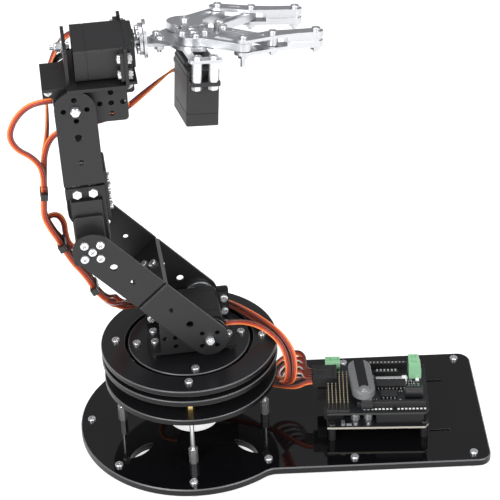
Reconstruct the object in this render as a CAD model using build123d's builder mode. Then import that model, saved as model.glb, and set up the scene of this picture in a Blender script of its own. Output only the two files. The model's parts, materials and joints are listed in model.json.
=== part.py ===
"""Desktop robot arm with six hobby servos, an aluminium claw and a controller.

Frame: millimetres, +Z up. The origin is the centre of the base plate's round
hole, on the axis of the turning base, at the plate's underside. +X runs along
the plate towards the controller, +Y away from the controller's pin side.
"""
from build123d import *
from math import cos, pi, radians, sin, tan
import os

os.makedirs("parts", exist_ok=True)

# ---------------------------------------------------------------- dimensions
# Sheet metal and M3 hardware
SHEET = 2.0
M3_SHAFT_R = 1.5
M3_HOLE_R = 1.65
SPACER_BORE_R = 1.55
M3_HEAD_R = 2.8
M3_HEAD_H = 2.0
M3_NUT_R = 3.1
M3_NUT_H = 2.4

# Standard-size servo, measured from its mounting face (z = 0 on the bracket's
# outer face) and from its shaft axis (x = 0)
SERVO_L = 40.7
SERVO_W = 19.7
SERVO_H = 37.0
SHAFT_TO_END = 10.2
EAR_T = 2.5
EAR_REACH = 6.85
EAR_UNDER = 26.8
EAR_HOLE_PITCH_X = 49.5
EAR_HOLE_PITCH_Y = 10.0
EAR_TOP = -SHEET
SERVO_BOTTOM = EAR_TOP - EAR_T - EAR_UNDER
SERVO_TOP = SERVO_BOTTOM + SERVO_H
SERVO_MID_X = SERVO_L / 2 - SHAFT_TO_END
BOSS_TOP = SERVO_TOP + 0.9
HORN_R = 10.0
HORN_PCD = 14.0
HORN_T = 2.6
HORN_HUB_R = 4.1

# Servo bracket, 57 x 37 x 25, and long U bracket, 65 high, 57 outside
BRACKET_L = 57.0
BRACKET_H = 37.0
BRACKET_W = 25.0
WEB_OUT = 12.7
BACK_PLATE_END = 32.0
BEARING_R = 4.0
LONG_OUTER = 57.0
LONG_REACH = 52.5
FACE_Y = 14.3
ARM_GAP_TOP = LONG_OUTER / 2 - SHEET - FACE_Y
ARM_GAP_BACK = LONG_OUTER / 2 - SHEET - (BRACKET_H - FACE_Y)

# Base plate and disc stack
PLATE_T = 5.0
PLATE_R = 78.5
PLATE_END_X = 199.5
PLATE_W = 120.0
CENTRE_HOLE_R = 17.3
FOOT_H = 5.0
DISC_T = 4.0
RING_R = 59.5
RING_HOLE_R = 43.5
TURNTABLE_R = 41.0
ROD_CIRCLE_R = 49.4
RING_TOP = PLATE_T + 66.8
MIDDLE_TOP = RING_TOP - 8.0
LOWER_TOP = RING_TOP - 24.2
STANDOFF_H = 12.0

# Arm pose and joint places, in the arm's own upright plane
ARM_YAW = 7.1
SPACER_H = 5.0
SHOULDER_X = 11.2
SHOULDER_Z = RING_TOP + SPACER_H + WEB_OUT
LOWER_TILT = -42.3
FOREARM_TILT = -1.2
FOREARM_L = 100.0
ROLL_AXIS_Y = 7.7
ROLL_FACE_X = 33.4
CLAW_ROLL = -8.3
CLAW_DROP = 5.3
CLAW_SLEW = 4.3
CLAW_RAISE = 2.7

# Claw linkage
ROLL_HORN_X = 45.6
GRIPPER_HORN_TOP = 12.3
GEAR_ROOT_R = 12.4
GEAR_TIP_R = 15.2
TOOTH_ROOT_HALF = 1.45
TOOTH_TIP_HALF = 0.45
PIVOT_BORE_R = M3_SHAFT_R + 0.06
OPEN_PIVOT_CLEARANCE = 0.4
LINK_LOW = 1.3
LINK_T = 5.0
PACK_FROM_X = 28.5
CLAW_GEAR_X = 74.8
GEAR_HALF = 14.0
GEAR_TEETH = 20
LINK_L = 34.0
LINK_ANGLE = 41.0
IDLER_X = 20.0
IDLER_HALF = 6.0
TIP_X = 47.7
TIP_IN = 11.0
PLY_GAP = 0.3

# Controller
BOARD_L = 68.6
BOARD_W = 53.3
BOARD_T = 1.6
BOARD_X = 126.3
BOARD_Y = -8.6
BOARD_TURN = -2.5
BOARD_Z = PLATE_T + 10.0
BOARD_POSTS = [(-31.0, -24.0), (-31.0, 24.0), (31.5, -22.0), (31.5, 24.0)]
SHIELD_Z = BOARD_Z + 12.0

# ---------------------------------------------------------------- placing
BASE = Location((0, 0, 0))
TURNTABLE = Location((0, 0, 0), (0, 0, ARM_YAW))
LOWER_ARM = TURNTABLE * Location((SHOULDER_X, 0, SHOULDER_Z), (0, LOWER_TILT, 0))
ELBOW = LOWER_ARM * Location((0, 0, 2 * LONG_REACH))
FOREARM = ELBOW * Location((0, 0, 0), (0, FOREARM_TILT - LOWER_TILT, 0))
WRIST = FOREARM * Location((0, 0, FOREARM_L), (0, -FOREARM_TILT, 0))
ROLL_Z = 2 * WEB_OUT
ROLL = WRIST * Location((0, ROLL_AXIS_Y, ROLL_Z), (CLAW_ROLL, 0, 0))
CLAW = WRIST * Location((0, ROLL_AXIS_Y, ROLL_Z + CLAW_RAISE), (0, 0, CLAW_SLEW))
CLAW = CLAW * Location((0, 0, 0), (0, CLAW_DROP, 0)) * Location((0, 0, 0), (CLAW_ROLL, 0, 0))
BOARD = Location((BOARD_X, BOARD_Y, BOARD_Z), (0, 0, BOARD_TURN))


def save(shape, label, place=BASE):
    """Put one finished piece where it belongs and write its STEP file."""
    placed = shape.moved(place)
    placed.label = label
    export_step(placed, f"parts/{label}.step")


def group(pieces):
    """Separate solids that share one node."""
    return Compound(children=[piece for piece in pieces])


def frame(origin, x_dir, z_dir):
    """Location of a local frame from its origin and two directions."""
    return Plane(origin=origin, x_dir=x_dir, z_dir=z_dir).location


# ---------------------------------------------------------------- hardware
def screw(length):
    """Pan head screw with a cross recess; the head sits on z = 0."""
    with BuildPart() as body:
        Cylinder(M3_SHAFT_R, length, align=(Align.CENTER, Align.CENTER, Align.MAX))
        Cylinder(M3_HEAD_R, M3_HEAD_H, align=(Align.CENTER, Align.CENTER, Align.MIN))
        fillet(body.edges().group_by(Axis.Z)[-1], 0.9)
        with BuildSketch(Plane.XY.offset(M3_HEAD_H)):
            Rectangle(3.0, 0.7)
            Rectangle(0.7, 3.0)
        extrude(amount=-1.1, mode=Mode.SUBTRACT)
    return body.part


def nut(height=M3_NUT_H):
    """Hexagon nut standing on z = 0."""
    with BuildPart() as body:
        with BuildSketch():
            RegularPolygon(M3_NUT_R, 6)
            Circle(M3_SHAFT_R + 0.05, mode=Mode.SUBTRACT)
        extrude(amount=height)
    return body.part


def lock_nut():
    """Self-locking nut with its round collar, standing on z = 0."""
    with BuildPart() as body:
        with BuildSketch():
            RegularPolygon(M3_NUT_R, 6)
        extrude(amount=2.6)
        with BuildSketch(Plane.XY.offset(2.6)):
            Circle(2.5)
        extrude(amount=1.3)
        fillet(body.edges().group_by(Axis.Z)[-1], 0.5)
        with BuildSketch():
            Circle(M3_SHAFT_R + 0.05)
        extrude(amount=4.0, mode=Mode.SUBTRACT)
    return body.part


def tube(outer, inner, height):
    """Plain round spacer standing on z = 0."""
    with BuildPart() as body:
        with BuildSketch():
            Circle(outer)
            Circle(inner, mode=Mode.SUBTRACT)
        extrude(amount=height)
    return body.part


def bolt_set(places, length, grip):
    """Screws at places (head side up) with a nut at the end of each grip."""
    pieces = []
    for place in places:
        pieces.append(screw(length).moved(place))
        pieces.append(nut().moved(place * Location((0, 0, -grip - M3_NUT_H))))
    return pieces


# ---------------------------------------------------------------- servos
def servo():
    """Servo without its shaft: cable end and shaft at -X, ears at x ends."""
    with BuildPart() as body:
        with BuildSketch(Plane.XY.offset(SERVO_BOTTOM)):
            with Locations((SERVO_MID_X, 0)):
                RectangleRounded(SERVO_L, SERVO_W, 1.5)
        extrude(amount=SERVO_H - 2.6)
        with BuildSketch(Plane.XY.offset(SERVO_TOP - 2.6)):
            with Locations((SERVO_MID_X - 5.0, 0)):
                RectangleRounded(SERVO_L - 10.0, SERVO_W - 1.0, 2.5)
        extrude(amount=2.6)
        fillet(body.faces().sort_by(Axis.Z)[-1].edges(), 0.7)
        with BuildSketch(Plane.XY.offset(SERVO_TOP)):
            Circle(6.6)
        extrude(amount=BOSS_TOP - SERVO_TOP)
        # The three shells meet in two shallow grooves
        for seam in (SERVO_BOTTOM + 7.5, EAR_TOP + 1.4):
            with BuildSketch(Plane.XY.offset(seam)):
                with Locations((SERVO_MID_X, 0)):
                    Rectangle(SERVO_L + 1, SERVO_W + 1)
                    RectangleRounded(SERVO_L - 0.6, SERVO_W - 0.6, 1.3, mode=Mode.SUBTRACT)
            extrude(amount=0.4, mode=Mode.SUBTRACT)
        with BuildSketch(Plane.XY.offset(EAR_TOP - EAR_T)):
            with Locations((SERVO_MID_X, 0)):
                RectangleRounded(SERVO_L + 2 * EAR_REACH, SERVO_W - 1.4, 1.2)
                with GridLocations(EAR_HOLE_PITCH_X, EAR_HOLE_PITCH_Y, 2, 2):
                    Circle(2.2, mode=Mode.SUBTRACT)
        extrude(amount=EAR_T)
        # Strain relief of the lead, low on the shaft end
        with BuildSketch(Plane.XY.offset(SERVO_BOTTOM + 3.0)):
            with Locations((-SHAFT_TO_END - 1.0, 0)):
                Rectangle(2.4, 7.0)
        extrude(amount=3.4)
        # Sunk heads of the four case screws
        with Locations(Plane.XY.offset(SERVO_BOTTOM)):
            with Locations((SERVO_MID_X, 0)):
                with GridLocations(SERVO_L - 5.5, SERVO_W - 5.0, 2, 2):
                    Cylinder(1.7, 1.2, mode=Mode.SUBTRACT)
    return body.part


def horn(top):
    """Round metal horn on the splined output shaft; the disc's face is at top."""
    foot = BOSS_TOP + 0.15
    with BuildPart() as body:
        with BuildSketch(Plane.XY.offset(foot)):
            Circle(HORN_HUB_R)
        extrude(amount=top - foot)
        with BuildSketch(Plane.XY.offset(top - HORN_T)):
            Circle(HORN_R)
            with PolarLocations(HORN_PCD / 2, 4):
                Circle(SPACER_BORE_R, mode=Mode.SUBTRACT)
        extrude(amount=HORN_T)
        with BuildSketch(Plane.XY.offset(top - 4.2)):
            Circle(SPACER_BORE_R)
        extrude(amount=4.2, mode=Mode.SUBTRACT)
        chamfer(body.edges().group_by(Axis.Z)[-1].filter_by(GeomType.CIRCLE).sort_by(SortBy.RADIUS)[-1], 0.4)
    return body.part


def flanged_bearing():
    """Flanged ball bearing in the back plate's bore, its flange outside."""
    with BuildPart() as body:
        with BuildSketch(Plane.XY.offset(-BRACKET_H)):
            Circle(BEARING_R)
            Circle(M3_SHAFT_R + 0.04, mode=Mode.SUBTRACT)
        extrude(amount=2.7)
        with BuildSketch(Plane.XY.offset(-BRACKET_H - 0.7)):
            Circle(BEARING_R + 0.7)
            Circle(M3_SHAFT_R + 0.04, mode=Mode.SUBTRACT)
        extrude(amount=0.7)
    return body.part


def pivot_bolt():
    """Pivot of the idle side: inside head, spacer, and lock nut outside."""
    arm_inside = -BRACKET_H - ARM_GAP_BACK
    head_z = -BRACKET_H + 2.9
    with BuildPart() as body:
        with BuildSketch(Plane.XY.offset(head_z)):
            Circle(2.7)
        extrude(amount=1.6)
        with BuildSketch(Plane.XY.offset(arm_inside - 6.6)):
            Circle(M3_SHAFT_R)
        extrude(amount=head_z - arm_inside + 6.6)
        with BuildSketch(Plane.XY.offset(arm_inside + 0.05)):
            RegularPolygon(M3_NUT_R, 6)
        extrude(amount=ARM_GAP_BACK - 0.9)
    outer = lock_nut().moved(frame((0, 0, arm_inside - SHEET), (1, 0, 0), (0, 0, -1)))
    return [body.part, outer]


def horn_screws(head_z, length):
    """Centre screw and four horn screws; heads bear on the arm at head_z."""
    pieces = [screw(length).moved(Location((0, 0, head_z)))]
    with BuildPart(mode=Mode.PRIVATE):
        spots = PolarLocations(HORN_PCD / 2, 4).locations
    for spot in spots:
        pieces.append(screw(length).moved(spot * Location((0, 0, head_z))))
    return pieces


# ---------------------------------------------------------------- brackets
def ear_screws(place):
    """Four ear screws with their heads on the ears, nuts on the face plate."""
    pieces = []
    for x in (SERVO_MID_X - EAR_HOLE_PITCH_X / 2, SERVO_MID_X + EAR_HOLE_PITCH_X / 2):
        for y in (-EAR_HOLE_PITCH_Y / 2, EAR_HOLE_PITCH_Y / 2):
            head = frame((x, y, EAR_TOP - EAR_T), (1, 0, 0), (0, 0, -1))
            pieces.append(screw(7.2).moved(place * head))
            pieces.append(nut(2.2).moved(place * Location((x, y, 0.02))))
    return pieces


def servo_bracket(web_side, web_holes):
    """C bracket round a servo. web_side says which side the web is on."""
    web_start_y = WEB_OUT if web_side > 0 else SHEET - WEB_OUT
    plate_mid_y = web_side * (WEB_OUT - BRACKET_W / 2)
    with BuildPart() as body:
        # Face plate with its notch open opposite the web
        with BuildSketch(Plane.XY):
            with Locations((SERVO_MID_X, plate_mid_y)):
                RectangleRounded(BRACKET_L, BRACKET_W, 2.0)
            with Locations((SERVO_MID_X, web_side * (WEB_OUT - SHEET / 2))):
                Rectangle(BRACKET_L, SHEET)
            with Locations((SERVO_MID_X, -web_side * 3.0)):
                Rectangle(SERVO_L + 0.6, 26.4, mode=Mode.SUBTRACT)
            with Locations((SERVO_MID_X, 0)):
                with GridLocations(EAR_HOLE_PITCH_X, EAR_HOLE_PITCH_Y, 2, 2):
                    Circle(M3_HOLE_R, mode=Mode.SUBTRACT)
        extrude(amount=-SHEET)
        # Web
        with BuildSketch(Plane.XY):
            with Locations((SERVO_MID_X, web_side * (WEB_OUT - SHEET / 2))):
                Rectangle(BRACKET_L, SHEET)
        extrude(amount=-BRACKET_H)
        # Back plate, round about the shaft axis
        with BuildSketch(Plane.XY.offset(-BRACKET_H)):
            Circle(12.3)
            with Locations((0, web_side * WEB_OUT / 2)):
                Rectangle(24.6, WEB_OUT)
            with Locations((BACK_PLATE_END / 2, plate_mid_y)):
                RectangleRounded(BACK_PLATE_END, BRACKET_W, 2.5)
            with Locations((BACK_PLATE_END / 2, web_side * WEB_OUT / 2)):
                Rectangle(BACK_PLATE_END, WEB_OUT)
            Circle(BEARING_R + 0.02, mode=Mode.SUBTRACT)
            with Locations((22.0, 0)):
                Circle(M3_HOLE_R, mode=Mode.SUBTRACT)
                with PolarLocations(HORN_PCD / 2, 4):
                    Circle(M3_HOLE_R, mode=Mode.SUBTRACT)
        extrude(amount=SHEET)
        # Rounded outside of the bend to the face plate
        corner = body.edges().filter_by(Axis.X).sort_by(
            lambda edge: abs(edge.center().Z) + abs(edge.center().Y - web_side * WEB_OUT)
        )[0]
        fillet(corner, 1.6)
        # Holes through the web
        with BuildSketch(Plane.XZ.offset(-web_start_y)):
            with Locations(*web_holes):
                Circle(M3_HOLE_R)
        extrude(amount=SHEET, mode=Mode.SUBTRACT)
    return body.part


def long_bracket():
    """Long U bracket: web across the bottom, round-ended arms to the pivot."""
    half = LONG_OUTER / 2
    with BuildPart() as body:
        with BuildSketch(Plane.XY.offset(-LONG_REACH)):
            Rectangle(BRACKET_W, LONG_OUTER)
            with PolarLocations(HORN_PCD / 2, 4):
                Circle(M3_HOLE_R, mode=Mode.SUBTRACT)
        extrude(amount=SHEET)
        for arm_start_y in (half, SHEET - half):
            with BuildSketch(Plane.XZ.offset(-arm_start_y)):
                with Locations((0, -LONG_REACH / 2)):
                    Rectangle(BRACKET_W, LONG_REACH)
                Circle(BRACKET_W / 2)
                with PolarLocations(HORN_PCD / 2, 4):
                    Circle(M3_HOLE_R, mode=Mode.SUBTRACT)
                Circle(M3_HOLE_R, mode=Mode.SUBTRACT)
                with Locations((0, -18.5)):
                    Circle(2.4, mode=Mode.SUBTRACT)
                with Locations((0, -35.5)):
                    Circle(1.8, mode=Mode.SUBTRACT)
            extrude(amount=SHEET)
        bends = body.edges().filter_by(Axis.X).group_by(Axis.Z)[0]
        fillet(bends, 2.6)
    return body.part


def angle_bracket(rise, foot, holes_up, holes_foot):
    """L bracket: an upright leg on x = 0 and a foot towards -X at the top."""
    with BuildPart() as body:
        with BuildSketch(Plane.YZ):
            with Locations((0, -rise / 2)):
                RectangleRounded(BRACKET_W, rise, 2.5)
            with Locations((0, -rise / 4)):
                Rectangle(BRACKET_W, rise / 2)
            with Locations(*holes_up):
                Circle(M3_HOLE_R, mode=Mode.SUBTRACT)
        extrude(amount=SHEET)
        with BuildSketch(Plane.XY.offset(-SHEET)):
            with Locations((SHEET - foot / 2, 0)):
                Rectangle(foot, BRACKET_W)
            with Locations(*holes_foot):
                Circle(M3_HOLE_R, mode=Mode.SUBTRACT)
        extrude(amount=SHEET)
        corner = body.edges().filter_by(Axis.Y).sort_by(
            lambda edge: abs(edge.center().X - SHEET) + abs(edge.center().Z)
        )[0]
        fillet(corner, 1.8)
    return body.part


# ================================================================ base
def plate_screw_places():
    """Screws round the plate's round end, then along its square end."""
    places = [(71.0 * cos(radians(a)), 71.0 * sin(radians(a))) for a in range(45, 316, 45)]
    return places + [(x, y) for x in (108.0, 188.0) for y in (-52.5, 52.5)]


def pointed_slot(long, wide):
    """Slot with two curved sides that meet in a point at each end."""
    side_r = (long**2 + wide**2) / (4 * wide)
    with BuildSketch() as outline:
        with Locations((0, side_r - wide / 2)):
            Circle(side_r)
        with Locations((0, wide / 2 - side_r)):
            Circle(side_r, mode=Mode.INTERSECT)
    return outline.sketch


def base_plate():
    """Keyhole-shaped acrylic plate with its centre hole, slots and screw holes."""
    with BuildPart() as body:
        with BuildSketch():
            Circle(PLATE_R)
            with Locations((PLATE_END_X / 2, 0)):
                Rectangle(PLATE_END_X, PLATE_W)
        extrude(amount=PLATE_T)
        corners = body.edges().filter_by(Axis.Z)
        fillet(corners.filter_by(lambda edge: edge.center().X > 100), 9.0)
        necks = body.edges().filter_by(Axis.Z)
        fillet(necks.filter_by(lambda edge: 30 < edge.center().X < 70), 14.0)
        chamfer(body.faces().sort_by(Axis.Z)[-1].outer_wire().edges(), 0.7)
        with BuildSketch():
            Circle(CENTRE_HOLE_R)
            with PolarLocations(50.0, 4, start_angle=45):
                add(pointed_slot(22.0, 6.8))
            with Locations((169.0, 28.0), (168.0, -27.0)):
                SlotOverall(15.0, 1.6)
            with Locations(*plate_screw_places()):
                Circle(M3_HOLE_R)
            with PolarLocations(ROD_CIRCLE_R, 4):
                Circle(M3_HOLE_R)
            with Locations(*board_post_places()):
                Circle(M3_HOLE_R)
        extrude(amount=PLATE_T, mode=Mode.SUBTRACT)
    return body.part


def board_post_places():
    """Board corners that stand on posts, in the plate's own frame."""
    turn = radians(BOARD_TURN)
    return [
        (BOARD_X + x * cos(turn) - y * sin(turn), BOARD_Y + x * sin(turn) + y * cos(turn))
        for x, y in BOARD_POSTS
    ]


def disc(radius, top, hole_r, slot=None):
    """Flat acrylic disc with the four rod holes of the stack."""
    with BuildPart() as body:
        with BuildSketch(Plane.XY.offset(top - DISC_T)):
            Circle(radius)
            if hole_r:
                Circle(hole_r, mode=Mode.SUBTRACT)
            if slot:
                with Locations((SERVO_MID_X, 0)):
                    Rectangle(slot[0], slot[1], mode=Mode.SUBTRACT)
                    with GridLocations(EAR_HOLE_PITCH_X, EAR_HOLE_PITCH_Y, 2, 2):
                        Circle(M3_HOLE_R, mode=Mode.SUBTRACT)
            with PolarLocations(ROD_CIRCLE_R, 4):
                Circle(M3_HOLE_R, mode=Mode.SUBTRACT)
        extrude(amount=DISC_T)
        chamfer(body.faces().sort_by(Axis.Z)[-1].outer_wire().edges(), 0.5)
    return body.part


def foot():
    """Hexagon foot under the plate."""
    with BuildPart() as body:
        with BuildSketch(Plane.XY.offset(-FOOT_H)):
            RegularPolygon(3.2, 6)
        extrude(amount=FOOT_H - 0.05)
        with BuildSketch(Plane.XY.offset(-FOOT_H)):
            Circle(M3_SHAFT_R + 0.05)
        extrude(amount=FOOT_H, mode=Mode.SUBTRACT)
    return body.part


save(base_plate(), "base_plate")
feet_at = [Location((x, y, 0)) for x, y in plate_screw_places()]
save(group([foot().moved(spot) for spot in feet_at]), "base_feet")
screws_at = [Location((x, y, PLATE_T)) for x, y in plate_screw_places()]
save(group([screw(PLATE_T + FOOT_H - 1.5).moved(spot) for spot in screws_at]), "base_screws")

RODS = [Location((ROD_CIRCLE_R * cos(a * pi / 2), ROD_CIRCLE_R * sin(a * pi / 2), 0)) for a in range(4)]
rod_pieces = []
spacer_pieces = []
rod_screw = screw(RING_TOP - PLATE_T - STANDOFF_H)
for rod in RODS:
    rod_pieces.append(rod_screw.moved(rod * Location((0, 0, RING_TOP))))
    rod_pieces.append(nut(STANDOFF_H - 0.1).moved(rod * Location((0, 0, PLATE_T))))
    rod_pieces.append(nut().moved(rod * Location((0, 0, MIDDLE_TOP + 0.8))))
    rod_pieces.append(nut().moved(rod * Location((0, 0, LOWER_TOP - DISC_T - M3_NUT_H))))
    rod_pieces.append(nut().moved(rod * Location((0, 0, -M3_NUT_H))))
    gap = MIDDLE_TOP - DISC_T - LOWER_TOP
    spacer_pieces.append(nut(gap).moved(rod * Location((0, 0, LOWER_TOP))))
save(group(rod_pieces), "stack_rods")
save(group(spacer_pieces), "stack_spacers")

save(disc(RING_R, RING_TOP, RING_HOLE_R), "top_ring")
save(disc(RING_R, MIDDLE_TOP, 14.0), "middle_disc")
save(disc(RING_R - 0.8, LOWER_TOP, 0, slot=(SERVO_L + 0.6, SERVO_W + 0.6)), "lower_disc")

# Base servo: its ears stand on the lower disc, shaft up on the axis
BASE_SERVO = Location((0, 0, LOWER_TOP + EAR_T - EAR_TOP + 0.02))
save(servo(), "base_servo", BASE_SERVO)
BASE_HORN_TOP = RING_TOP - DISC_T - (LOWER_TOP + EAR_T - EAR_TOP + 0.02)


def thrust_race():
    """Ball ring that carries the turning disc, standing on the middle disc."""
    race_r = 39.0
    ball_r = 1.15
    race = tube(race_r + 1.6, race_r - 1.6, 1.6).moved(Location((0, 0, MIDDLE_TOP)))
    balls = []
    for index in range(20):
        angle = 2 * pi * index / 20
        with BuildPart() as ball:
            Sphere(ball_r)
        spot = (race_r * cos(angle), race_r * sin(angle), MIDDLE_TOP + 1.6 + ball_r)
        balls.append(ball.part.moved(Location(spot)))
    return group([race] + balls)


save(thrust_race(), "thrust_bearing")

# ================================================================ turntable
WEB_BOLT_X = (SERVO_MID_X - 24.5, SERVO_MID_X + 24.5)
WEB_BOLT_Z = (-24.5, -12.5)
SHOULDER_BRACKET = TURNTABLE * frame((SHOULDER_X, FACE_Y, SHOULDER_Z), (-1, 0, 0), (0, 1, 0))
corner_holes = [(x, z) for x in WEB_BOLT_X for z in WEB_BOLT_Z]
shoulder_feet = [(SHOULDER_X - x, FACE_Y + z) for x, z in corner_holes]
disc_screw_spots = [(35.3 * cos(radians(a)), 35.3 * sin(radians(a))) for a in (0, 90, 180, 270)]


def turntable_disc():
    """Turning disc inside the top ring, with holes for the bracket and horn."""
    with BuildPart() as body:
        with BuildSketch(Plane.XY.offset(RING_TOP - DISC_T)):
            Circle(TURNTABLE_R)
            with Locations(*shoulder_feet, *disc_screw_spots):
                Circle(M3_HOLE_R, mode=Mode.SUBTRACT)
            with PolarLocations(HORN_PCD / 2, 4):
                Circle(M3_HOLE_R, mode=Mode.SUBTRACT)
        extrude(amount=DISC_T)
        chamfer(body.faces().sort_by(Axis.Z)[-1].outer_wire().edges(), 0.5)
    return body.part


save(turntable_disc(), "turntable_disc", TURNTABLE)
save(horn(BASE_HORN_TOP), "base_horn", BASE_SERVO)
turntable_bolts = []
for x, y in shoulder_feet:
    spot = Location((x, y, RING_TOP))
    turntable_bolts.append(tube(3.0, SPACER_BORE_R, SPACER_H).moved(spot))
    turntable_bolts += bolt_set([spot * Location((0, 0, SPACER_H + SHEET))], 13.4, SPACER_H + SHEET + DISC_T)
for x, y in disc_screw_spots:
    turntable_bolts.append(screw(DISC_T + 0.8).moved(Location((x, y, RING_TOP))))
save(servo_bracket(-1, corner_holes), "shoulder_bracket", SHOULDER_BRACKET)
save(servo(), "shoulder_servo", SHOULDER_BRACKET)
turntable_bolts = [piece.moved(TURNTABLE) for piece in turntable_bolts]
turntable_bolts.append(flanged_bearing().moved(SHOULDER_BRACKET))
turntable_bolts += ear_screws(SHOULDER_BRACKET)
save(group(turntable_bolts), "turntable_bolts")


# ================================================================ lower arm
LOWER_HORN = LOWER_ARM * frame((0, FACE_Y, 0), (1, 0, 0), (0, 1, 0))
UPPER_HORN = LOWER_ARM * frame((0, -FACE_Y, 2 * LONG_REACH), (1, 0, 0), (0, -1, 0))
save(long_bracket(), "shoulder_long_bracket", LOWER_ARM * Location((0, 0, 0), (0, 180, 0)))
save(long_bracket(), "elbow_long_bracket", LOWER_ARM * Location((0, 0, 2 * LONG_REACH)))
save(horn(ARM_GAP_TOP), "shoulder_horn", LOWER_HORN)
save(horn(ARM_GAP_TOP), "elbow_horn", UPPER_HORN)


def cross_places(radius):
    """The four places of the web bolt cross."""
    return [(radius, 0), (0, radius), (-radius, 0), (0, -radius)]


def moved_all(pieces, place):
    return [piece.moved(place) for piece in pieces]


lower_bolts = bolt_set(
    [Location((x, y, LONG_REACH + SHEET)) for x, y in cross_places(HORN_PCD / 2)], 8.4, 2 * SHEET
)
lower_bolts = moved_all(lower_bolts, LOWER_ARM)
arm_face = ARM_GAP_TOP + SHEET
lower_bolts += moved_all(horn_screws(arm_face, 5.0), LOWER_HORN)
lower_bolts += moved_all(horn_screws(arm_face, 5.0), UPPER_HORN)
lower_bolts += moved_all(pivot_bolt(), LOWER_HORN)
lower_bolts += moved_all(pivot_bolt(), UPPER_HORN)
save(group(lower_bolts), "lower_arm_bolts")

# ================================================================ forearm
ELBOW_BRACKET = FOREARM * frame((0, -FACE_Y, 0), (0, 0, 1), (0, -1, 0))
ANGLE_TOP = FOREARM_L - LONG_REACH
angle_bolt_spots = [(33.0, -6.0), (33.0, 6.0), (19.0, -6.0), (19.0, 6.0)]
elbow_web_holes = [(z, -FACE_Y - y) for z, y in angle_bolt_spots]
save(servo_bracket(-1, elbow_web_holes), "elbow_bracket", ELBOW_BRACKET)
save(servo(), "elbow_servo", ELBOW_BRACKET)
angle_up = [(y, z - ANGLE_TOP) for z, y in angle_bolt_spots]
foot_mid_x = -WEB_OUT
angle_foot = [(foot_mid_x + x, y) for x, y in cross_places(HORN_PCD / 2)]
save(
    angle_bracket(36.0, 27.0, angle_up, angle_foot),
    "forearm_angle",
    FOREARM * Location((WEB_OUT, 0, ANGLE_TOP)),
)
save(long_bracket(), "wrist_long_bracket", FOREARM * Location((0, 0, FOREARM_L)))
WRIST_HORN = FOREARM * frame((0, FACE_Y, FOREARM_L), (1, 0, 0), (0, 1, 0))
save(horn(ARM_GAP_TOP), "wrist_horn", WRIST_HORN)
forearm_bolts = bolt_set(
    [Location((x, y, ANGLE_TOP + SHEET)) for x, y in cross_places(HORN_PCD / 2)], 8.4, 2 * SHEET
)
for z, y in angle_bolt_spots:
    head = frame((WEB_OUT + SHEET, y, z), (0, 1, 0), (1, 0, 0))
    forearm_bolts.append(screw(2 * SHEET).moved(head))
forearm_bolts = moved_all(forearm_bolts, FOREARM)
forearm_bolts += ear_screws(ELBOW_BRACKET)
forearm_bolts.append(flanged_bearing().moved(ELBOW_BRACKET))
forearm_bolts += moved_all(horn_screws(arm_face, 5.0), WRIST_HORN)
forearm_bolts += moved_all(pivot_bolt(), WRIST_HORN)
save(group(forearm_bolts), "forearm_bolts")

# ================================================================ wrist
WRIST_BRACKET = WRIST * frame((0, FACE_Y, 0), (1, 0, 0), (0, 1, 0))
ROLL_BRACKET = WRIST * frame((ROLL_FACE_X, ROLL_AXIS_Y, ROLL_Z), (0, -1, 0), (1, 0, 0))
WEB_CROSS_X = (ROLL_FACE_X - BRACKET_H / 2 + SERVO_MID_X) / 2
WEB_CROSS_Y = (FACE_Y - BRACKET_H / 2 + ROLL_AXIS_Y - SERVO_MID_X) / 2
web_cross = [(WEB_CROSS_X + x, WEB_CROSS_Y + y) for x, y in cross_places(HORN_PCD / 2)]
pitch_web = [(x, y - FACE_Y) for x, y in web_cross]
roll_web = [(ROLL_AXIS_Y - y, x - ROLL_FACE_X) for x, y in web_cross]
save(servo_bracket(-1, pitch_web), "wrist_bracket", WRIST_BRACKET)
save(servo(), "wrist_servo", WRIST_BRACKET)
save(servo_bracket(1, roll_web), "roll_bracket", ROLL_BRACKET)
save(servo(), "roll_servo", ROLL_BRACKET)
wrist_bolts = [flanged_bearing().moved(WRIST_BRACKET), flanged_bearing().moved(ROLL_BRACKET)]
for x, y in web_cross:
    flush = frame((x, y, WEB_OUT + SHEET - 0.05), (1, 0, 0), (0, 0, 1))
    with BuildPart() as pin:
        Cylinder(M3_SHAFT_R, 2 * SHEET - 0.1, align=(Align.CENTER, Align.CENTER, Align.MAX))
    wrist_bolts.append(pin.part.moved(WRIST * flush))
wrist_bolts += ear_screws(WRIST_BRACKET)
wrist_bolts += ear_screws(ROLL_BRACKET)
with BuildPart() as roll_pivot:
    Cylinder(M3_SHAFT_R, 12.0, align=(Align.CENTER, Align.CENTER, Align.MIN))
    Cylinder(2.7, 1.6, align=(Align.CENTER, Align.CENTER, Align.MIN))
roll_pivot_place = ROLL_BRACKET * frame((0, 0, -BRACKET_H + 4.5), (1, 0, 0), (0, 0, -1))
wrist_bolts.append(roll_pivot.part.moved(roll_pivot_place))
roll_nut_place = ROLL_BRACKET * frame((0, 0, -BRACKET_H - 0.8), (1, 0, 0), (0, 0, -1))
wrist_bolts.append(lock_nut().moved(roll_nut_place))
save(group(wrist_bolts), "wrist_bolts")

# ================================================================ claw
GEAR_NEAR = (CLAW_GEAR_X, -GEAR_HALF)
GEAR_FAR = (CLAW_GEAR_X, GEAR_HALF)
IDLERS = ((CLAW_GEAR_X + IDLER_X, -IDLER_HALF), (CLAW_GEAR_X + IDLER_X, IDLER_HALF))
FINGER_JOINT = (IDLER_X, GEAR_HALF - IDLER_HALF)
FOOT_SCREWS = ((55.5, 5.0), (55.5, -5.0))
LINK_REACH_X = LINK_L * cos(radians(LINK_ANGLE))
LINK_REACH_Y = LINK_L * sin(radians(LINK_ANGLE))
PLY_UPPER = LINK_LOW + LINK_T + PLY_GAP
PLY_LOWER = LINK_LOW - PLY_GAP
PLY_LOWER_T = 2.2


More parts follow.
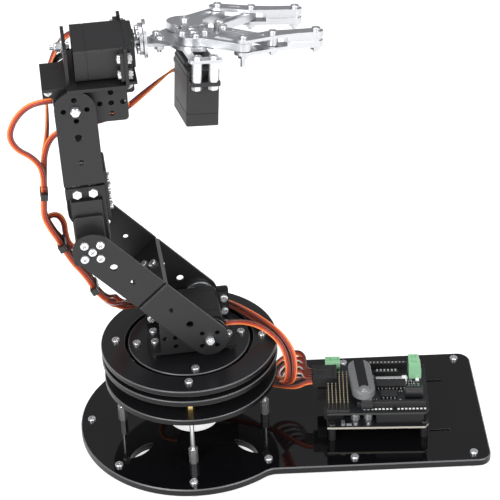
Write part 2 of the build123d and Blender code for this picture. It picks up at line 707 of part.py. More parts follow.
def hulled(circles):
    """Outline stretched round circles given as (x, y, radius)."""
    with BuildSketch(mode=Mode.PRIVATE) as outline:
        for x, y, radius in circles:
            with Locations((x, y)):
                Circle(radius)
        make_hull()
    return outline.sketch


def yoke_screw_places():
    """Places of the four ear screws of the gripper servo."""
    mid_y = -GEAR_HALF - SERVO_MID_X
    half_x = EAR_HOLE_PITCH_Y / 2
    half_y = EAR_HOLE_PITCH_X / 2
    return [(CLAW_GEAR_X + x, mid_y + y) for x in (-half_x, half_x) for y in (-half_y, half_y)]


def gripper_angle():
    """Round flange on the roll horn, with a slanting foot under the claw plate."""
    foot_plane = Plane(ROLL.inverse() * CLAW).offset(-1.0 - SHEET)
    foot_start = ROLL_HORN_X + 1.5
    with BuildPart() as body:
        with BuildSketch(Plane.YZ.offset(ROLL_HORN_X)):
            Circle(12.0)
        extrude(amount=SHEET)
        with BuildSketch(foot_plane):
            with Locations((foot_start + 7.5, 0)):
                Rectangle(15.0, 16.0)
            with Locations(*FOOT_SCREWS):
                Circle(M3_HOLE_R, mode=Mode.SUBTRACT)
        extrude(amount=SHEET)
        with BuildSketch(Plane.YZ.offset(ROLL_HORN_X)):
            Circle(M3_HEAD_R + 0.2)
            with PolarLocations(HORN_PCD / 2, 4, start_angle=45):
                Circle(M3_HOLE_R)
        extrude(amount=SHEET, mode=Mode.SUBTRACT)
    return body.part


def claw_base():
    """Claw base plate with the servo yoke on its near side."""
    with BuildPart() as body:
        with BuildSketch(Plane.XY.offset(-1.0)):
            add(hulled([(57.5, 0, 7.0), (72.8, GEAR_HALF, 9.0), (72.8, -GEAR_HALF, 9.0)]))
            sides = [(CLAW_GEAR_X, side * GEAR_HALF, 8.0) for side in (-1, 1)]
            add(hulled(sides + [(x, y, 6.0) for x, y in IDLERS]))
            with Locations(GEAR_NEAR):
                Circle(14.5)
            for x in (CLAW_GEAR_X - 7.0, CLAW_GEAR_X + 7.0):
                with Locations((x, -37.0)):
                    Rectangle(4.0, 28.0)
            with Locations((CLAW_GEAR_X, -49.0)):
                RectangleRounded(20.0, 7.0, 2.0)
            with Locations(GEAR_NEAR):
                Circle(HORN_R + 0.6, mode=Mode.SUBTRACT)
            with Locations(GEAR_FAR, *IDLERS, *yoke_screw_places(), *FOOT_SCREWS):
                Circle(M3_HOLE_R, mode=Mode.SUBTRACT)
        extrude(amount=SHEET)
    return body.part


def gear_link(phase, first, last, on_horn):
    """Toothed sector with its arm along +X; teeth are centred on phase."""
    half_span = radians((last - first) / 2)
    reach = 2 * GEAR_ROOT_R
    with BuildPart() as body:
        with BuildSketch(Plane.XY.offset(LINK_LOW)):
            with BuildSketch(mode=Mode.PRIVATE) as sector:
                Circle(GEAR_ROOT_R)
                with Locations(Location((0, 0), (first + last) / 2)):
                    Polygon(
                        (0, 0),
                        (reach * cos(half_span), -reach * sin(half_span)),
                        (reach * cos(half_span), reach * sin(half_span)),
                        align=None,
                        mode=Mode.INTERSECT,
                    )
            Circle(11.3)
            add(hulled([(0, 0, 7.5), (LINK_L, 0, 5.0)]))
            add(sector.sketch)
            for index in range(GEAR_TEETH):
                angle = phase + index * 360.0 / GEAR_TEETH
                if first <= angle <= last:
                    with Locations(Location((0, 0), angle)):
                        Polygon(
                            (GEAR_ROOT_R - 0.8, -TOOTH_ROOT_HALF),
                            (GEAR_TIP_R, -TOOTH_TIP_HALF),
                            (GEAR_TIP_R, TOOTH_TIP_HALF),
                            (GEAR_ROOT_R - 0.8, TOOTH_ROOT_HALF),
                            align=None,
                        )
            if on_horn:
                with PolarLocations(HORN_PCD / 2, 4, start_angle=LINK_ANGLE):
                    Circle(M3_HOLE_R, mode=Mode.SUBTRACT)
            Circle(PIVOT_BORE_R, mode=Mode.SUBTRACT)
            with Locations((LINK_L, 0)):
                Circle(PIVOT_BORE_R, mode=Mode.SUBTRACT)
        extrude(amount=LINK_T)
        with BuildSketch(Plane.XY.offset(LINK_LOW + LINK_T)):
            with Locations((LINK_L / 2 + 4.0, 0)):
                SlotOverall(13.0, 4.0)
        extrude(amount=-1.0, mode=Mode.SUBTRACT)
    return body.part


def idler_link():
    """Plain link with a groove; its far hole is the linkage's open pivot."""
    with BuildPart() as body:
        with BuildSketch(Plane.XY.offset(LINK_LOW)):
            with Locations((LINK_L / 2, 0)):
                SlotCenterToCenter(LINK_L, 6.4)
            Circle(PIVOT_BORE_R, mode=Mode.SUBTRACT)
            with Locations((LINK_L, 0)):
                Circle(M3_SHAFT_R + OPEN_PIVOT_CLEARANCE, mode=Mode.SUBTRACT)
        extrude(amount=LINK_T)
        with BuildSketch(Plane.XY.offset(LINK_LOW + LINK_T)):
            with Locations((LINK_L / 2, 0)):
                SlotOverall(22.0, 2.6)
        extrude(amount=-1.0, mode=Mode.SUBTRACT)
    return body.part


def finger_outline(shrink):
    """Outline of one finger plate from its rear joint (0, 0) to its tip."""
    joint_x, joint_y = FINGER_JOINT
    rear = hulled([(0, 0, 5.5 - shrink), (joint_x, joint_y, 5.5 - shrink)])
    middle = hulled([(joint_x, joint_y, 5.5 - shrink), (34.0, 10.0, 4.4 - shrink)])
    tip = hulled([(34.0, 10.0, 4.4 - shrink), (TIP_X, TIP_IN, 4.6 - shrink)])
    return rear + middle + tip


def finger_pin(x, y, length):
    """Bolt through both face plates of a finger, with its nut below."""
    head = screw(length).moved(Location((x, y, PLY_UPPER + SHEET)))
    under = nut().moved(Location((x, y, PLY_LOWER - PLY_LOWER_T - M3_NUT_H)))
    return [head, under]


def finger(side):
    """Finger: two face plates joined by a layered gripping pack, and bolts.

    The far finger, side 1, is the mirror image of the near one."""
    layer_t = (PLY_UPPER - PLY_LOWER) / 3
    with BuildPart() as body:
        for level, thick in ((PLY_UPPER, SHEET), (PLY_LOWER - PLY_LOWER_T, PLY_LOWER_T)):
            with BuildSketch(Plane.XY.offset(level)):
                add(finger_outline(0))
                with Locations((0, 0), FINGER_JOINT):
                    Circle(M3_HOLE_R, mode=Mode.SUBTRACT)
            extrude(amount=thick)
        for index in range(3):
            with BuildSketch(Plane.XY.offset(PLY_LOWER + index * layer_t)):
                add(finger_outline(0.8 if index == 1 else 0))
                Rectangle(2 * PACK_FROM_X, 60.0, mode=Mode.SUBTRACT)
            extrude(amount=layer_t)
        with BuildSketch(Plane.XY.offset(PLY_UPPER + SHEET)):
            with Locations(Location((10.0, 4.0), 21.8)):
                SlotOverall(8.5, 2.4)
        extrude(amount=-1.0, mode=Mode.SUBTRACT)
        with BuildSketch(Plane.XY.offset(PLY_LOWER - PLY_LOWER_T)):
            with Locations((TIP_X, TIP_IN)):
                Circle(M3_HOLE_R)
        extrude(amount=PLY_UPPER - PLY_LOWER + PLY_LOWER_T + SHEET, mode=Mode.SUBTRACT)
    pieces = [body.part]
    pieces += finger_pin(0, 0, 17.5)
    pieces += finger_pin(FINGER_JOINT[0], FINGER_JOINT[1], 13.5)
    pieces += finger_pin(TIP_X, TIP_IN, 13.5)
    if side > 0:
        pieces = [piece.mirror(Plane.XZ) for piece in pieces]
    return group(pieces)


horn_place = ROLL * frame((ROLL_FACE_X, 0, 0), (0, -1, 0), (1, 0, 0)) * Location((0, 0, 0), (0, 0, 45))
save(horn(ROLL_HORN_X - ROLL_FACE_X), "roll_horn", horn_place)
save(gripper_angle(), "gripper_angle", ROLL)
save(claw_base(), "gripper_base", CLAW)
GRIPPER_SERVO = frame((CLAW_GEAR_X, -GEAR_HALF, LINK_LOW - GRIPPER_HORN_TOP), (0, -1, 0), (0, 0, 1))
save(servo(), "gripper_servo", CLAW * GRIPPER_SERVO)
gripper_hardware = bolt_set([Location((x, y, 1.0)) for x, y in FOOT_SCREWS], 8.0, 2 * SHEET)
spacer_low = LINK_LOW - GRIPPER_HORN_TOP + EAR_TOP
for x, y in yoke_screw_places():
    gripper_hardware.append(tube(3.0, SPACER_BORE_R, -1.0 - spacer_low).moved(Location((x, y, spacer_low))))
    if y > -GEAR_HALF:
        # Under the gears the screw comes from below and ends flush with the plate
        from_below = Location((x, y, spacer_low - EAR_T), (180, 0, 0))
        gripper_hardware.append(screw(1.0 - spacer_low + EAR_T).moved(from_below))
    else:
        gripper_hardware.append(screw(19.5).moved(Location((x, y, 1.0))))
        gripper_hardware.append(nut().moved(Location((x, y, spacer_low - EAR_T - M3_NUT_H))))
for x, y in (GEAR_FAR, *IDLERS):
    gripper_hardware.append(screw(12.0).moved(Location((x, y, LINK_LOW + LINK_T + 0.06))))
    gripper_hardware.append(tube(3.0, SPACER_BORE_R, LINK_LOW - 1.05).moved(Location((x, y, 1.0))))
    gripper_hardware.append(nut().moved(Location((x, y, -1.0 - M3_NUT_H))))
# The horn's centre screw sits in the flange; its four screws come from behind
flange_screws = [screw(4.0).moved(frame((ROLL_HORN_X, 0, 0), (0, 1, 0), (1, 0, 0)))]
for angle in range(45, 360, 90):
    y = HORN_PCD / 2 * cos(radians(angle))
    z = HORN_PCD / 2 * sin(radians(angle))
    behind = frame((ROLL_HORN_X - HORN_T, y, z), (0, 1, 0), (-1, 0, 0))
    flange_screws.append(screw(HORN_T + SHEET).moved(behind))
gripper_hardware += [each.moved(CLAW.inverse() * ROLL) for each in flange_screws]
save(group(gripper_hardware), "gripper_hardware", CLAW)

# Gear links, idlers and fingers; the far side mirrors the near side
NEAR = CLAW * Location((CLAW_GEAR_X, -GEAR_HALF, 0), (0, 0, -LINK_ANGLE))
FAR = CLAW * Location((CLAW_GEAR_X, GEAR_HALF, 0), (0, 0, LINK_ANGLE))
mesh = 90.0 + LINK_ANGLE
tooth_pitch = 360.0 / GEAR_TEETH
near_teeth = gear_link(mesh - 4 * tooth_pitch, mesh - 64.0, mesh + 39.0, True)
far_teeth = gear_link(-mesh - 2.5 * tooth_pitch, -mesh - 39.0, -mesh + 64.0, False)
save(near_teeth, "near_gear_link", NEAR)
save(far_teeth, "far_gear_link", FAR)
drive = [horn(GRIPPER_HORN_TOP)]
drive.append(screw(8.0).moved(Location((0, 0, GRIPPER_HORN_TOP + LINK_T))))
for angle in range(0, 360, 90):
    spot = (HORN_PCD / 2 * cos(radians(angle)), HORN_PCD / 2 * sin(radians(angle)))
    drive.append(screw(7.4).moved(Location((spot[0], spot[1], GRIPPER_HORN_TOP + LINK_T))))
save(group(drive), "gripper_horn", CLAW * GRIPPER_SERVO)
for name, side in (("near", -1), ("far", 1)):
    base_x = CLAW_GEAR_X + IDLER_X
    idler_place = Location((base_x, side * IDLER_HALF, 0), (0, 0, side * LINK_ANGLE))
    save(idler_link(), f"{name}_idler", CLAW * idler_place)
    joint = Location((CLAW_GEAR_X + LINK_REACH_X, side * (GEAR_HALF + LINK_REACH_Y), 0))
    save(finger(side), f"{name}_finger", CLAW * joint)

# ================================================================ controller
SHIELD_TOP = SHIELD_Z - BOARD_Z + BOARD_T
HALF_L = BOARD_L / 2
HALF_W = BOARD_W / 2
PIN_PITCH = 2.54


def block(x, y, z, long, wide, high, radius=0.0):
    """Rectangular block centred on (x, y) and standing on z."""
    with BuildPart() as body:
        with BuildSketch(Plane.XY.offset(z)):
            with Locations((x, y)):
                if radius:
                    RectangleRounded(long, wide, radius)
                else:
                    Rectangle(long, wide)
        extrude(amount=high)
    return body.part


def circuit_board(z):
    """Board with one clipped corner and four holes."""
    with BuildPart() as body:
        with BuildSketch(Plane.XY.offset(z)):
            Polygon(
                (-HALF_L, -HALF_W),
                (HALF_L - 2.5, -HALF_W),
                (HALF_L, -HALF_W + 3.5),
                (HALF_L, HALF_W),
                (-HALF_L, HALF_W),
                align=None,
            )
            with Locations(*BOARD_POSTS):
                Circle(M3_HOLE_R, mode=Mode.SUBTRACT)
        extrude(amount=BOARD_T)
    return body.part


BOARD_TOP = BOARD_T
gap = SHIELD_Z - BOARD_Z - BOARD_T
board_pieces = [circuit_board(0)]
for x, y, long in ((15.0, -HALF_W + 5.2, 32.0), (4.0, HALF_W - 5.2, 54.0)):
    board_pieces.append(block(x, y, BOARD_TOP, long, 2.5, gap))
board_pieces.append(block(-HALF_L + 1.8, 9.0, BOARD_TOP, 16.0, 12.0, gap - 0.6, 0.5))
board_pieces.append(block(-HALF_L + 4.8, -13.0, BOARD_TOP, 13.5, 9.0, gap - 0.4, 0.5))
board_pieces.append(block(10.0, 3.0, BOARD_TOP, 36.0, 15.0, 4.0))
for x in (-15.0, -6.0):
    board_pieces.append(block(x, -HALF_W + 10.0, BOARD_TOP, 6.3, 6.3, 5.4, 3.1))
for x, y in BOARD_POSTS:
    under_board = Location((x, y, PLATE_T - BOARD_Z))
    board_pieces.append(tube(2.6, SPACER_BORE_R, BOARD_Z - PLATE_T).moved(under_board))
    board_pieces.append(screw(13.0).moved(Location((x, y, BOARD_TOP))))
save(group(board_pieces), "controller_board", BOARD)
save(circuit_board(SHIELD_Z - BOARD_Z), "servo_shield", BOARD)


FIRST_PIN_Y = -24.8


def pin_places():
    """Places of the servo header pins: two groups of three columns."""
    places = []
    for first_x, rows in ((-33.1, 9), (-25.4, 14)):
        for column in range(3):
            for row in range(rows):
                places.append((first_x + column * PIN_PITCH, FIRST_PIN_Y + row * PIN_PITCH))
    return places


blocks = []
for first_x, rows in ((-33.1, 9), (-25.4, 14)):
    mid_x = first_x + PIN_PITCH
    mid_y = FIRST_PIN_Y + (rows - 1) * PIN_PITCH / 2
    blocks.append(block(mid_x, mid_y, SHIELD_TOP, 3 * PIN_PITCH, rows * PIN_PITCH, 2.5))
plug_ys = [14.6 - index * PIN_PITCH for index in range(6)]
blocks.append(block(-28.2, 14.6 - 2.5 * PIN_PITCH, SHIELD_TOP, 2.5, 6 * PIN_PITCH, 9.4))
blocks.append(block(9.0, -HALF_W + 6.6, SHIELD_TOP, 46.0, 2.5, 5.0))
blocks.append(block(7.0, HALF_W - 3.4, SHIELD_TOP, 30.0, 2.5, 5.0))
blocks.append(block(-7.5, -HALF_W + 6.0, SHIELD_TOP, 8.0, 5.2, 5.6))
save(group(blocks), "pin_blocks", BOARD)
pins = [block(x, y, SHIELD_TOP + 2.5, 0.64, 0.64, 6.0) for x, y in pin_places()]
save(group(pins), "header_pins", BOARD)


def terminal(long, wide, high):
    """Screw terminal: block with a sloping front, wire mouths and screws."""
    with BuildPart() as body:
        with BuildSketch(Plane.YZ.offset(-long / 2)):
            Polygon(
                (-wide / 2, 0),
                (wide / 2, 0),
                (wide / 2, high),
                (-wide / 2 + 1.8, high),
                (-wide / 2, high * 0.55),
                align=None,
            )
        extrude(amount=long)
        for x in (-long / 4, long / 4):
            with Locations((x, 0.6, high)):
                Cylinder(1.9, 2.4, mode=Mode.SUBTRACT)
            with BuildSketch(Plane.XZ.offset(wide / 2)):
                with Locations((x, high * 0.27)):
                    RectangleRounded(long / 2 - 1.4, high * 0.34, 0.5)
            extrude(amount=-3.0, mode=Mode.SUBTRACT)
    return body.part


left_terminal = terminal(10.3, 8.0, 8.6).moved(Location((-29.5, 22.0, SHIELD_TOP)))
right_terminal = terminal(11.0, 8.5, 13.0).moved(Location((27.0, 16.0, SHIELD_TOP), (0, 0, 90)))
save(group([left_terminal, right_terminal]), "power_terminals", BOARD)


def receiver():
    """Radio receiver in a round-ended case, raised on its plug."""
    with BuildPart() as body:
        with BuildSketch(Plane.XY.offset(SHIELD_TOP + 7.5)):
            with Locations((-10.5, -3.5)):
                SlotOverall(38.5, 15.6, rotation=95)
        extrude(amount=7.0)
        fillet(body.faces().sort_by(Axis.Z)[-1].edges(), 2.2)
        fillet(body.faces().sort_by(Axis.Z)[0].edges(), 1.0)
        with BuildSketch(Plane.XY.offset(SHIELD_TOP + 5.6)):
            with Locations((-7.5, -HALF_W + 6.0)):
                Rectangle(7.0, 4.4)
        extrude(amount=2.4)
    return body.part


save(receiver(), "receiver", BOARD)
parts = [block(10.0, 2.5, SHIELD_TOP, 20.0, 7.5, 3.6)]
parts.append(block(11.0, 9.0, SHIELD_TOP, 22.0, 2.5, 2.6))
parts.append(block(8.0, -8.0, SHIELD_TOP, 11.0, 6.5, 2.6))
parts.append(block(19.5, 7.5, SHIELD_TOP, 3.0, 6.0, 3.2))
with BuildPart() as can:
    with BuildSketch(Plane.YZ.offset(19.0)):
        with Locations((-9.0, SHIELD_TOP + 4.05)):
            Circle(4.0)
    extrude(amount=12.0)
    fillet(can.edges().group_by(Axis.X)[-1], 0.6)
parts.append(can.part)
save(group(parts), "board_parts", BOARD)


def plug():
    """Three-way lead plug lying on its side; its mouth is at x = 0."""
    with BuildPart() as body:
        with BuildSketch(Plane.XY):
            with Locations((-7.0, 0)):
                Rectangle(14.0, PIN_PITCH - 0.1)
        extrude(amount=3 * PIN_PITCH)
        with BuildSketch(Plane.XY.offset(3 * PIN_PITCH)):
            with Locations((-9.5, 0)):
                Rectangle(3.0, 1.4)
        extrude(amount=-0.5, mode=Mode.SUBTRACT)
    return body.part


plug_z = SHIELD_TOP + 1.4
plugs = [plug().moved(Location((-29.5, y, plug_z))) for y in plug_ys]
save(group(plugs), "lead_plugs", BOARD)

# ================================================================ leads
LEAD_D = 2.4
LEAD_EXIT_Z = SERVO_BOTTOM + 4.7
BUNDLE_D = 5.2
ARM_PLANE = TURNTABLE * Location((0, 0, PLATE_T))
STEP = LEAD_D + 0.2


def lead(points, diameter, place):
    """Round lead of straight runs joined by the largest arcs the runs allow."""
    spots = [(place * Location(point)).position for point in points]
    radii = []
    for before, here, after in zip(spots, spots[1:], spots[2:]):
        turn = radians((here - before).get_angle(after - here))
        shorter = min((here - before).length, (after - here).length)
        radii.append(0.45 * shorter / tan(turn / 2))
    with BuildPart() as body:
        with BuildLine() as route:
            FilletPolyline(*spots, radius=radii)
        with BuildSketch(Plane(origin=spots[0], z_dir=spots[1] - spots[0])):
            Circle(diameter / 2)
        sweep()
    length = sum(edge.length for edge in route.edges())
    ratio = body.part.volume / (pi * diameter * diameter / 4 * length)
    print(f"lead {length:.0f} mm, ratio {ratio:.3f}, radii", [round(radius) for radius in radii])
    return body.part


def side_by_side(points, offsets, place):
    """Leads that run next to each other across the arm's plane."""
    return [lead([(x, y + offset, z) for x, y, z in points], LEAD_D, place) for offset in offsets]


def tie(wide, deep):
    """Cable tie lying flat round a bundle on the Z axis, with its head."""
    with BuildPart() as body:
        with BuildSketch(Plane.XY.offset(-1.3)):
            RectangleRounded(deep + 2.2, wide + 2.2, 1.6)
            RectangleRounded(deep, wide, 0.8, mode=Mode.SUBTRACT)
        extrude(amount=2.6)
        with BuildSketch(Plane.XY.offset(-2.2)):
            with Locations((0, -wide / 2 - 2.6)):
                RectangleRounded(4.4, 3.4, 0.6)
        extrude(amount=4.4)
    return body.part


# Gripper servo's lead, as far as the wrist
def seen_from(place, spot, home):
    """Point of one frame, expressed in another."""
    return tuple((home.inverse() * place * Location(spot)).position)


exit_y = SHAFT_TO_END + 2.3 - GEAR_HALF
exit_z = LINK_LOW - GRIPPER_HORN_TOP + LEAD_EXIT_Z
gripper_route = [seen_from(CLAW, (CLAW_GEAR_X, y, exit_z), WRIST) for y in (exit_y, exit_y + 7.0)]
gripper_route += [(67.0, 14.2, -8.0), (59.5, 10.2, -3.0), (48.0, 3.5, -6.5)]
wrist_entry = (34.5, -2.8, -12.8)
save(lead(gripper_route + [wrist_entry], LEAD_D, WRIST), "gripper_lead")

# Wrist leads: the pitch servo's loop, the roll servo's and the gripper's
EXIT_X = -SHAFT_TO_END - 2.3
pitch_route = [seen_from(WRIST_BRACKET, (x, 0, LEAD_EXIT_Z), ARM_PLANE) for x in (EXIT_X, EXIT_X - 8.5)]
pitch_route += [(-92.0, -10.6, 257.5), (-99.5, -7.8, 247.5)]
pitch_route += [(-103.0, -5.0, 236.0), (-99.0, -3.4, 226.0), (-90.0, -2.8, 219.5), (-84.0, -STEP, 209.0)]
roll_route = [seen_from(ROLL_BRACKET, (x, 0, LEAD_EXIT_Z), ARM_PLANE) for x in (EXIT_X, EXIT_X - 8.0)]
roll_route += [(-63.5, 30.5, 283.0), (-70.5, 26.0, 274.5), (-75.5, 20.5, 264.5), (-77.5, 19.5, 252.0)]
roll_route += [(-78.0, 16.0, 240.0), (-79.5, 8.5, 229.0), (-82.5, 3.6, 219.0), (-84.0, STEP, 209.0)]
FIRST_TIE = (-85.1, 0, 197.0)
pitch_route.append((FIRST_TIE[0], -STEP, FIRST_TIE[2]))
roll_route.append((FIRST_TIE[0], STEP, FIRST_TIE[2]))
entry = Vector(seen_from(WRIST, wrist_entry, ARM_PLANE))
before_entry = Vector(seen_from(WRIST, gripper_route[-1], ARM_PLANE))
onward = entry + (entry - before_entry) * 0.9
grip_route = [tuple(entry), tuple(onward), (-54.5, -5.0, 240.5), (-67.0, -2.0, 237.0), (-77.0, 0, 231.5)]
grip_route += [(-82.3, 0, 221.5), (-84.0, 0, 209.0), FIRST_TIE]
wrist_leads = [lead(route, LEAD_D, ARM_PLANE) for route in (pitch_route, grip_route, roll_route)]
save(group(wrist_leads), "wrist_leads")

# Down the forearm: three leads to the second tie, and the elbow servo's own
SECOND_TIE = (-76.3, 0, 149.0)
forearm_route = [FIRST_TIE, (-86.1, 0, 186.1), (-87.3, 0, 176.0), (-84.0, 0, 166.0), (-79.5, 0, 157.0)]
forearm_route += [SECOND_TIE]
forearm_leads = side_by_side(forearm_route, (-STEP, 0, STEP), ARM_PLANE)
elbow_route = [seen_from(ELBOW_BRACKET, (x, 0, LEAD_EXIT_Z), ARM_PLANE) for x in (EXIT_X, EXIT_X - 7.5)]
elbow_route += [(-66.5, 12.0, 138.5), (-73.5, 11.2, 144.0), (-75.0, 10.4, 154.0), (-75.0, 9.2, 163.5)]
elbow_route += [(-79.0, 6.5, 171.5), (-86.0, 2 * STEP, 170.5), (-85.0, 2 * STEP, 163.0)]
elbow_route += [(-79.5, 2 * STEP, 157.0), (SECOND_TIE[0], 2 * STEP, SECOND_TIE[2])]
forearm_leads.append(lead(elbow_route, LEAD_D, ARM_PLANE))
save(group(forearm_leads), "forearm_leads")
THIRD_TIE = (-58.5, 0, 113.9)
across_elbow = [SECOND_TIE, (-72.7, 0, 140.0), (-67.0, 0, 131.5), (-62.5, 0, 123.0), THIRD_TIE]
save(group(side_by_side(across_elbow, (-STEP, 0, STEP, 2 * STEP), ARM_PLANE)), "elbow_leads")
first_tie = tie(3 * STEP + 0.4, LEAD_D + 0.5)
second_tie = tie(4 * STEP + 0.6, LEAD_D + 0.8)
third_tie = tie(4 * STEP + 0.4, LEAD_D + 0.5)
tie_tilts = (5.0, -22.0, -25.0)
on_first = Location((-85.5, 0, 192.6), (0, tie_tilts[0], 0))
on_second = Location((-77.9, STEP / 2, 153.0), (0, tie_tilts[1], 0))
on_third = Location((-60.1, STEP / 2, 117.5), (0, tie_tilts[2], 0))
save(group([first_tie.moved(on_first), second_tie.moved(on_second)]), "forearm_ties", ARM_PLANE)
save(third_tie.moved(on_third), "lower_arm_tie", ARM_PLANE)

# From the lower arm round the turntable and down to the controller
shoulder_entry = (-29.0, 36.0, 75.5)
lower_route = [(-58.1, STEP / 2, 113.0), (-54.5, 3.0, 105.5), (-49.5, 9.5, 97.5), (-44.0, 18.5, 88.5)]
lower_route += [(-37.5, 28.5, 80.0), shoulder_entry]
save(lead(lower_route, BUNDLE_D, ARM_PLANE), "lower_arm_leads")
base_exit = (62.5, -13.5, 31.5)
shoulder_route = [shoulder_entry, (-21.35, 42.75, 71.45), (-7.0, 45.5, 69.8), (8.0, 43.5, 69.8)]
shoulder_route += [(22.5, 38.5, 69.8), (36.0, 29.5, 69.9), (48.0, 18.0, 70.2), (57.5, 4.5, 70.4)]
shoulder_route += [(65.0, -9.0, 69.0), (70.0, -20.5, 63.0), (71.5, -27.5, 54.0), (70.0, -28.0, 44.0)]
shoulder_route += [(67.0, -22.0, 36.5), base_exit]
servo_own = [seen_from(SHOULDER_BRACKET, (x, 0, LEAD_EXIT_Z), ARM_PLANE) for x in (EXIT_X, EXIT_X - 7.5)]
servo_own += [(38.0, -8.0, 79.5), (43.0, 0, 75.0), (48.0, 8.5, 74.8)]
shoulder_leads = [lead(shoulder_route, BUNDLE_D, ARM_PLANE), lead(servo_own, LEAD_D, ARM_PLANE)]
save(group(shoulder_leads), "shoulder_leads")
ABOVE_PLATE = Location((0, 0, PLATE_T))
start = (TURNTABLE * Location(base_exit)).position
toward = (TURNTABLE * Location(shoulder_route[-2])).position
plug_end_x = BOARD_X - HALF_L - 9.8
trunk = [tuple(start), tuple(start + (start - toward) * 0.9), (55.5, 10.5, 24.5), (57.0, 18.5, 25.0)]
trunk += [(64.5, 25.0, 27.5), (73.5, 26.5, 30.5), (78.5, 19.0, 31.5)]
trunk += [(plug_end_x - 5.0, 11.5, 31.0), (plug_end_x - 1.4, 4.5, 30.6)]
own = [(EXIT_X, 0, 20.5), (EXIT_X - 7.0, 0, 20.5), (-24.5, 7.5, 20.0), (-23.0, 17.0, 20.0)]
own += [(-14.0, 23.5, 20.5)]
own += [(-1.0, 25.0, 20.5), (13.0, 22.5, 20.0), (27.0, 18.0, 19.5), (41.0, 12.0, 19.0), (55.0, 5.5, 19.5)]
own += [(67.0, -2.0, 22.5), (plug_end_x - 0.6, -4.0, 28.0)]
controller_leads = [lead(trunk, BUNDLE_D, ABOVE_PLATE), lead(own, LEAD_D, ABOVE_PLATE)]
save(group(controller_leads), "controller_leads")
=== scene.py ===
"""Looks of the desktop robot arm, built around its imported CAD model."""
import json
from math import atan2, cos, pi, radians, sin

import bmesh
import bpy
from mathutils import Matrix, Quaternion, Vector

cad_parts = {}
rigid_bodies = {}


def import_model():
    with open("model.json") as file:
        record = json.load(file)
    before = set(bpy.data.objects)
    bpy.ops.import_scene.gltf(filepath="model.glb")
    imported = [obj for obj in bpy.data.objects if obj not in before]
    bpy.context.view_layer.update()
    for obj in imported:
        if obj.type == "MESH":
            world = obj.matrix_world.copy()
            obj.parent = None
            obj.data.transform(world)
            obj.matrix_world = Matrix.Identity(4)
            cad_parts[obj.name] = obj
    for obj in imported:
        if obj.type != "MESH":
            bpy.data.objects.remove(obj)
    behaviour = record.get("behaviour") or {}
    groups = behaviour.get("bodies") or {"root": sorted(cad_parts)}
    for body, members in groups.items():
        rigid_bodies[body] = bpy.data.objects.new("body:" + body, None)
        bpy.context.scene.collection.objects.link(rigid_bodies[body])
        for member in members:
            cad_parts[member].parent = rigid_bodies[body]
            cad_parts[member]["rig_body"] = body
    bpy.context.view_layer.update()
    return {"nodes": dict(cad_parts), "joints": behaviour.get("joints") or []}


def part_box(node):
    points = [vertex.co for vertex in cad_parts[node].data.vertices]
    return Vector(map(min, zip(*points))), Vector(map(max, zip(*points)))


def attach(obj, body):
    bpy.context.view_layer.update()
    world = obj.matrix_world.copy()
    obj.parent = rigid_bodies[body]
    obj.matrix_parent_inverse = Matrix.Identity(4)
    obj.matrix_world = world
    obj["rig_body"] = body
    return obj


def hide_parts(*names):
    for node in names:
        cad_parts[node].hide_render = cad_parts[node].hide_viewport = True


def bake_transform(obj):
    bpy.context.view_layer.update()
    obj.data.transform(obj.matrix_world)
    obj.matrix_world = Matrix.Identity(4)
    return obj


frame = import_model()
nodes = frame["nodes"]
joints = {joint["name"]: joint for joint in frame["joints"]}
MM = 0.001
UP = Vector((0, 0, 1))


# ---------------------------------------------------------------- camera
def place_camera():
    """Camera in front of the arm and above it, with a long lens."""
    position = Vector((0.0363, -0.9195, 0.7365))
    yaw, pitch, roll = radians(0.44), radians(32.95), radians(-2.16)
    forward = Vector((sin(yaw) * cos(pitch), cos(yaw) * cos(pitch), -sin(pitch)))
    right = forward.cross(UP).normalized()
    up = right.cross(forward)
    image_right = right * cos(roll) + up * sin(roll)
    image_up = up * cos(roll) - right * sin(roll)
    data = bpy.data.cameras.new("camera")
    data.lens = 120.8
    data.sensor_width = 36
    data.clip_end = 30
    camera = bpy.data.objects.new("camera", data)
    axes = Matrix((image_right, image_up, -forward)).transposed()
    camera.matrix_world = Matrix.Translation(position) @ axes.to_4x4()
    bpy.context.scene.collection.objects.link(camera)
    bpy.context.scene.camera = camera


place_camera()


# ---------------------------------------------------------------- frames of the object
def frame_from(origin, x_dir, y_dir):
    """Matrix of a frame in metres from an origin and two axes."""
    x_axis = Vector(x_dir).normalized()
    z_axis = x_axis.cross(Vector(y_dir)).normalized()
    y_axis = z_axis.cross(x_axis)
    turn = Matrix((x_axis, y_axis, z_axis)).transposed().to_4x4()
    return Matrix.Translation(Vector(origin)) @ turn


plate_top = 5 * MM
across = Vector(joints["shoulder_pitch"]["axis"])
along = across.cross(UP)
ARM = frame_from((0, 0, plate_top), along, across)
PLATE = frame_from((0, 0, plate_top), (1, 0, 0), (0, 1, 0))
wrist_at = Vector(joints["wrist_pitch"]["pos_m"])
WRIST = frame_from(wrist_at, along, across)
shield_low, shield_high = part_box("servo_shield")
board_turn = radians(-2.5)
board_along = (cos(board_turn), sin(board_turn), 0)
board_across = (-sin(board_turn), cos(board_turn), 0)
BOARD = frame_from((shield_low + shield_high) / 2, board_along, board_across)


# ---------------------------------------------------------------- materials
def node_of(tree, kind, **settings):
    """Shader node with its properties or input values set."""
    made = tree.nodes.new(kind)
    for key, value in settings.items():
        if hasattr(made, key):
            setattr(made, key, value)
        else:
            made.inputs[key.replace("_", " ")].default_value = value
    return made


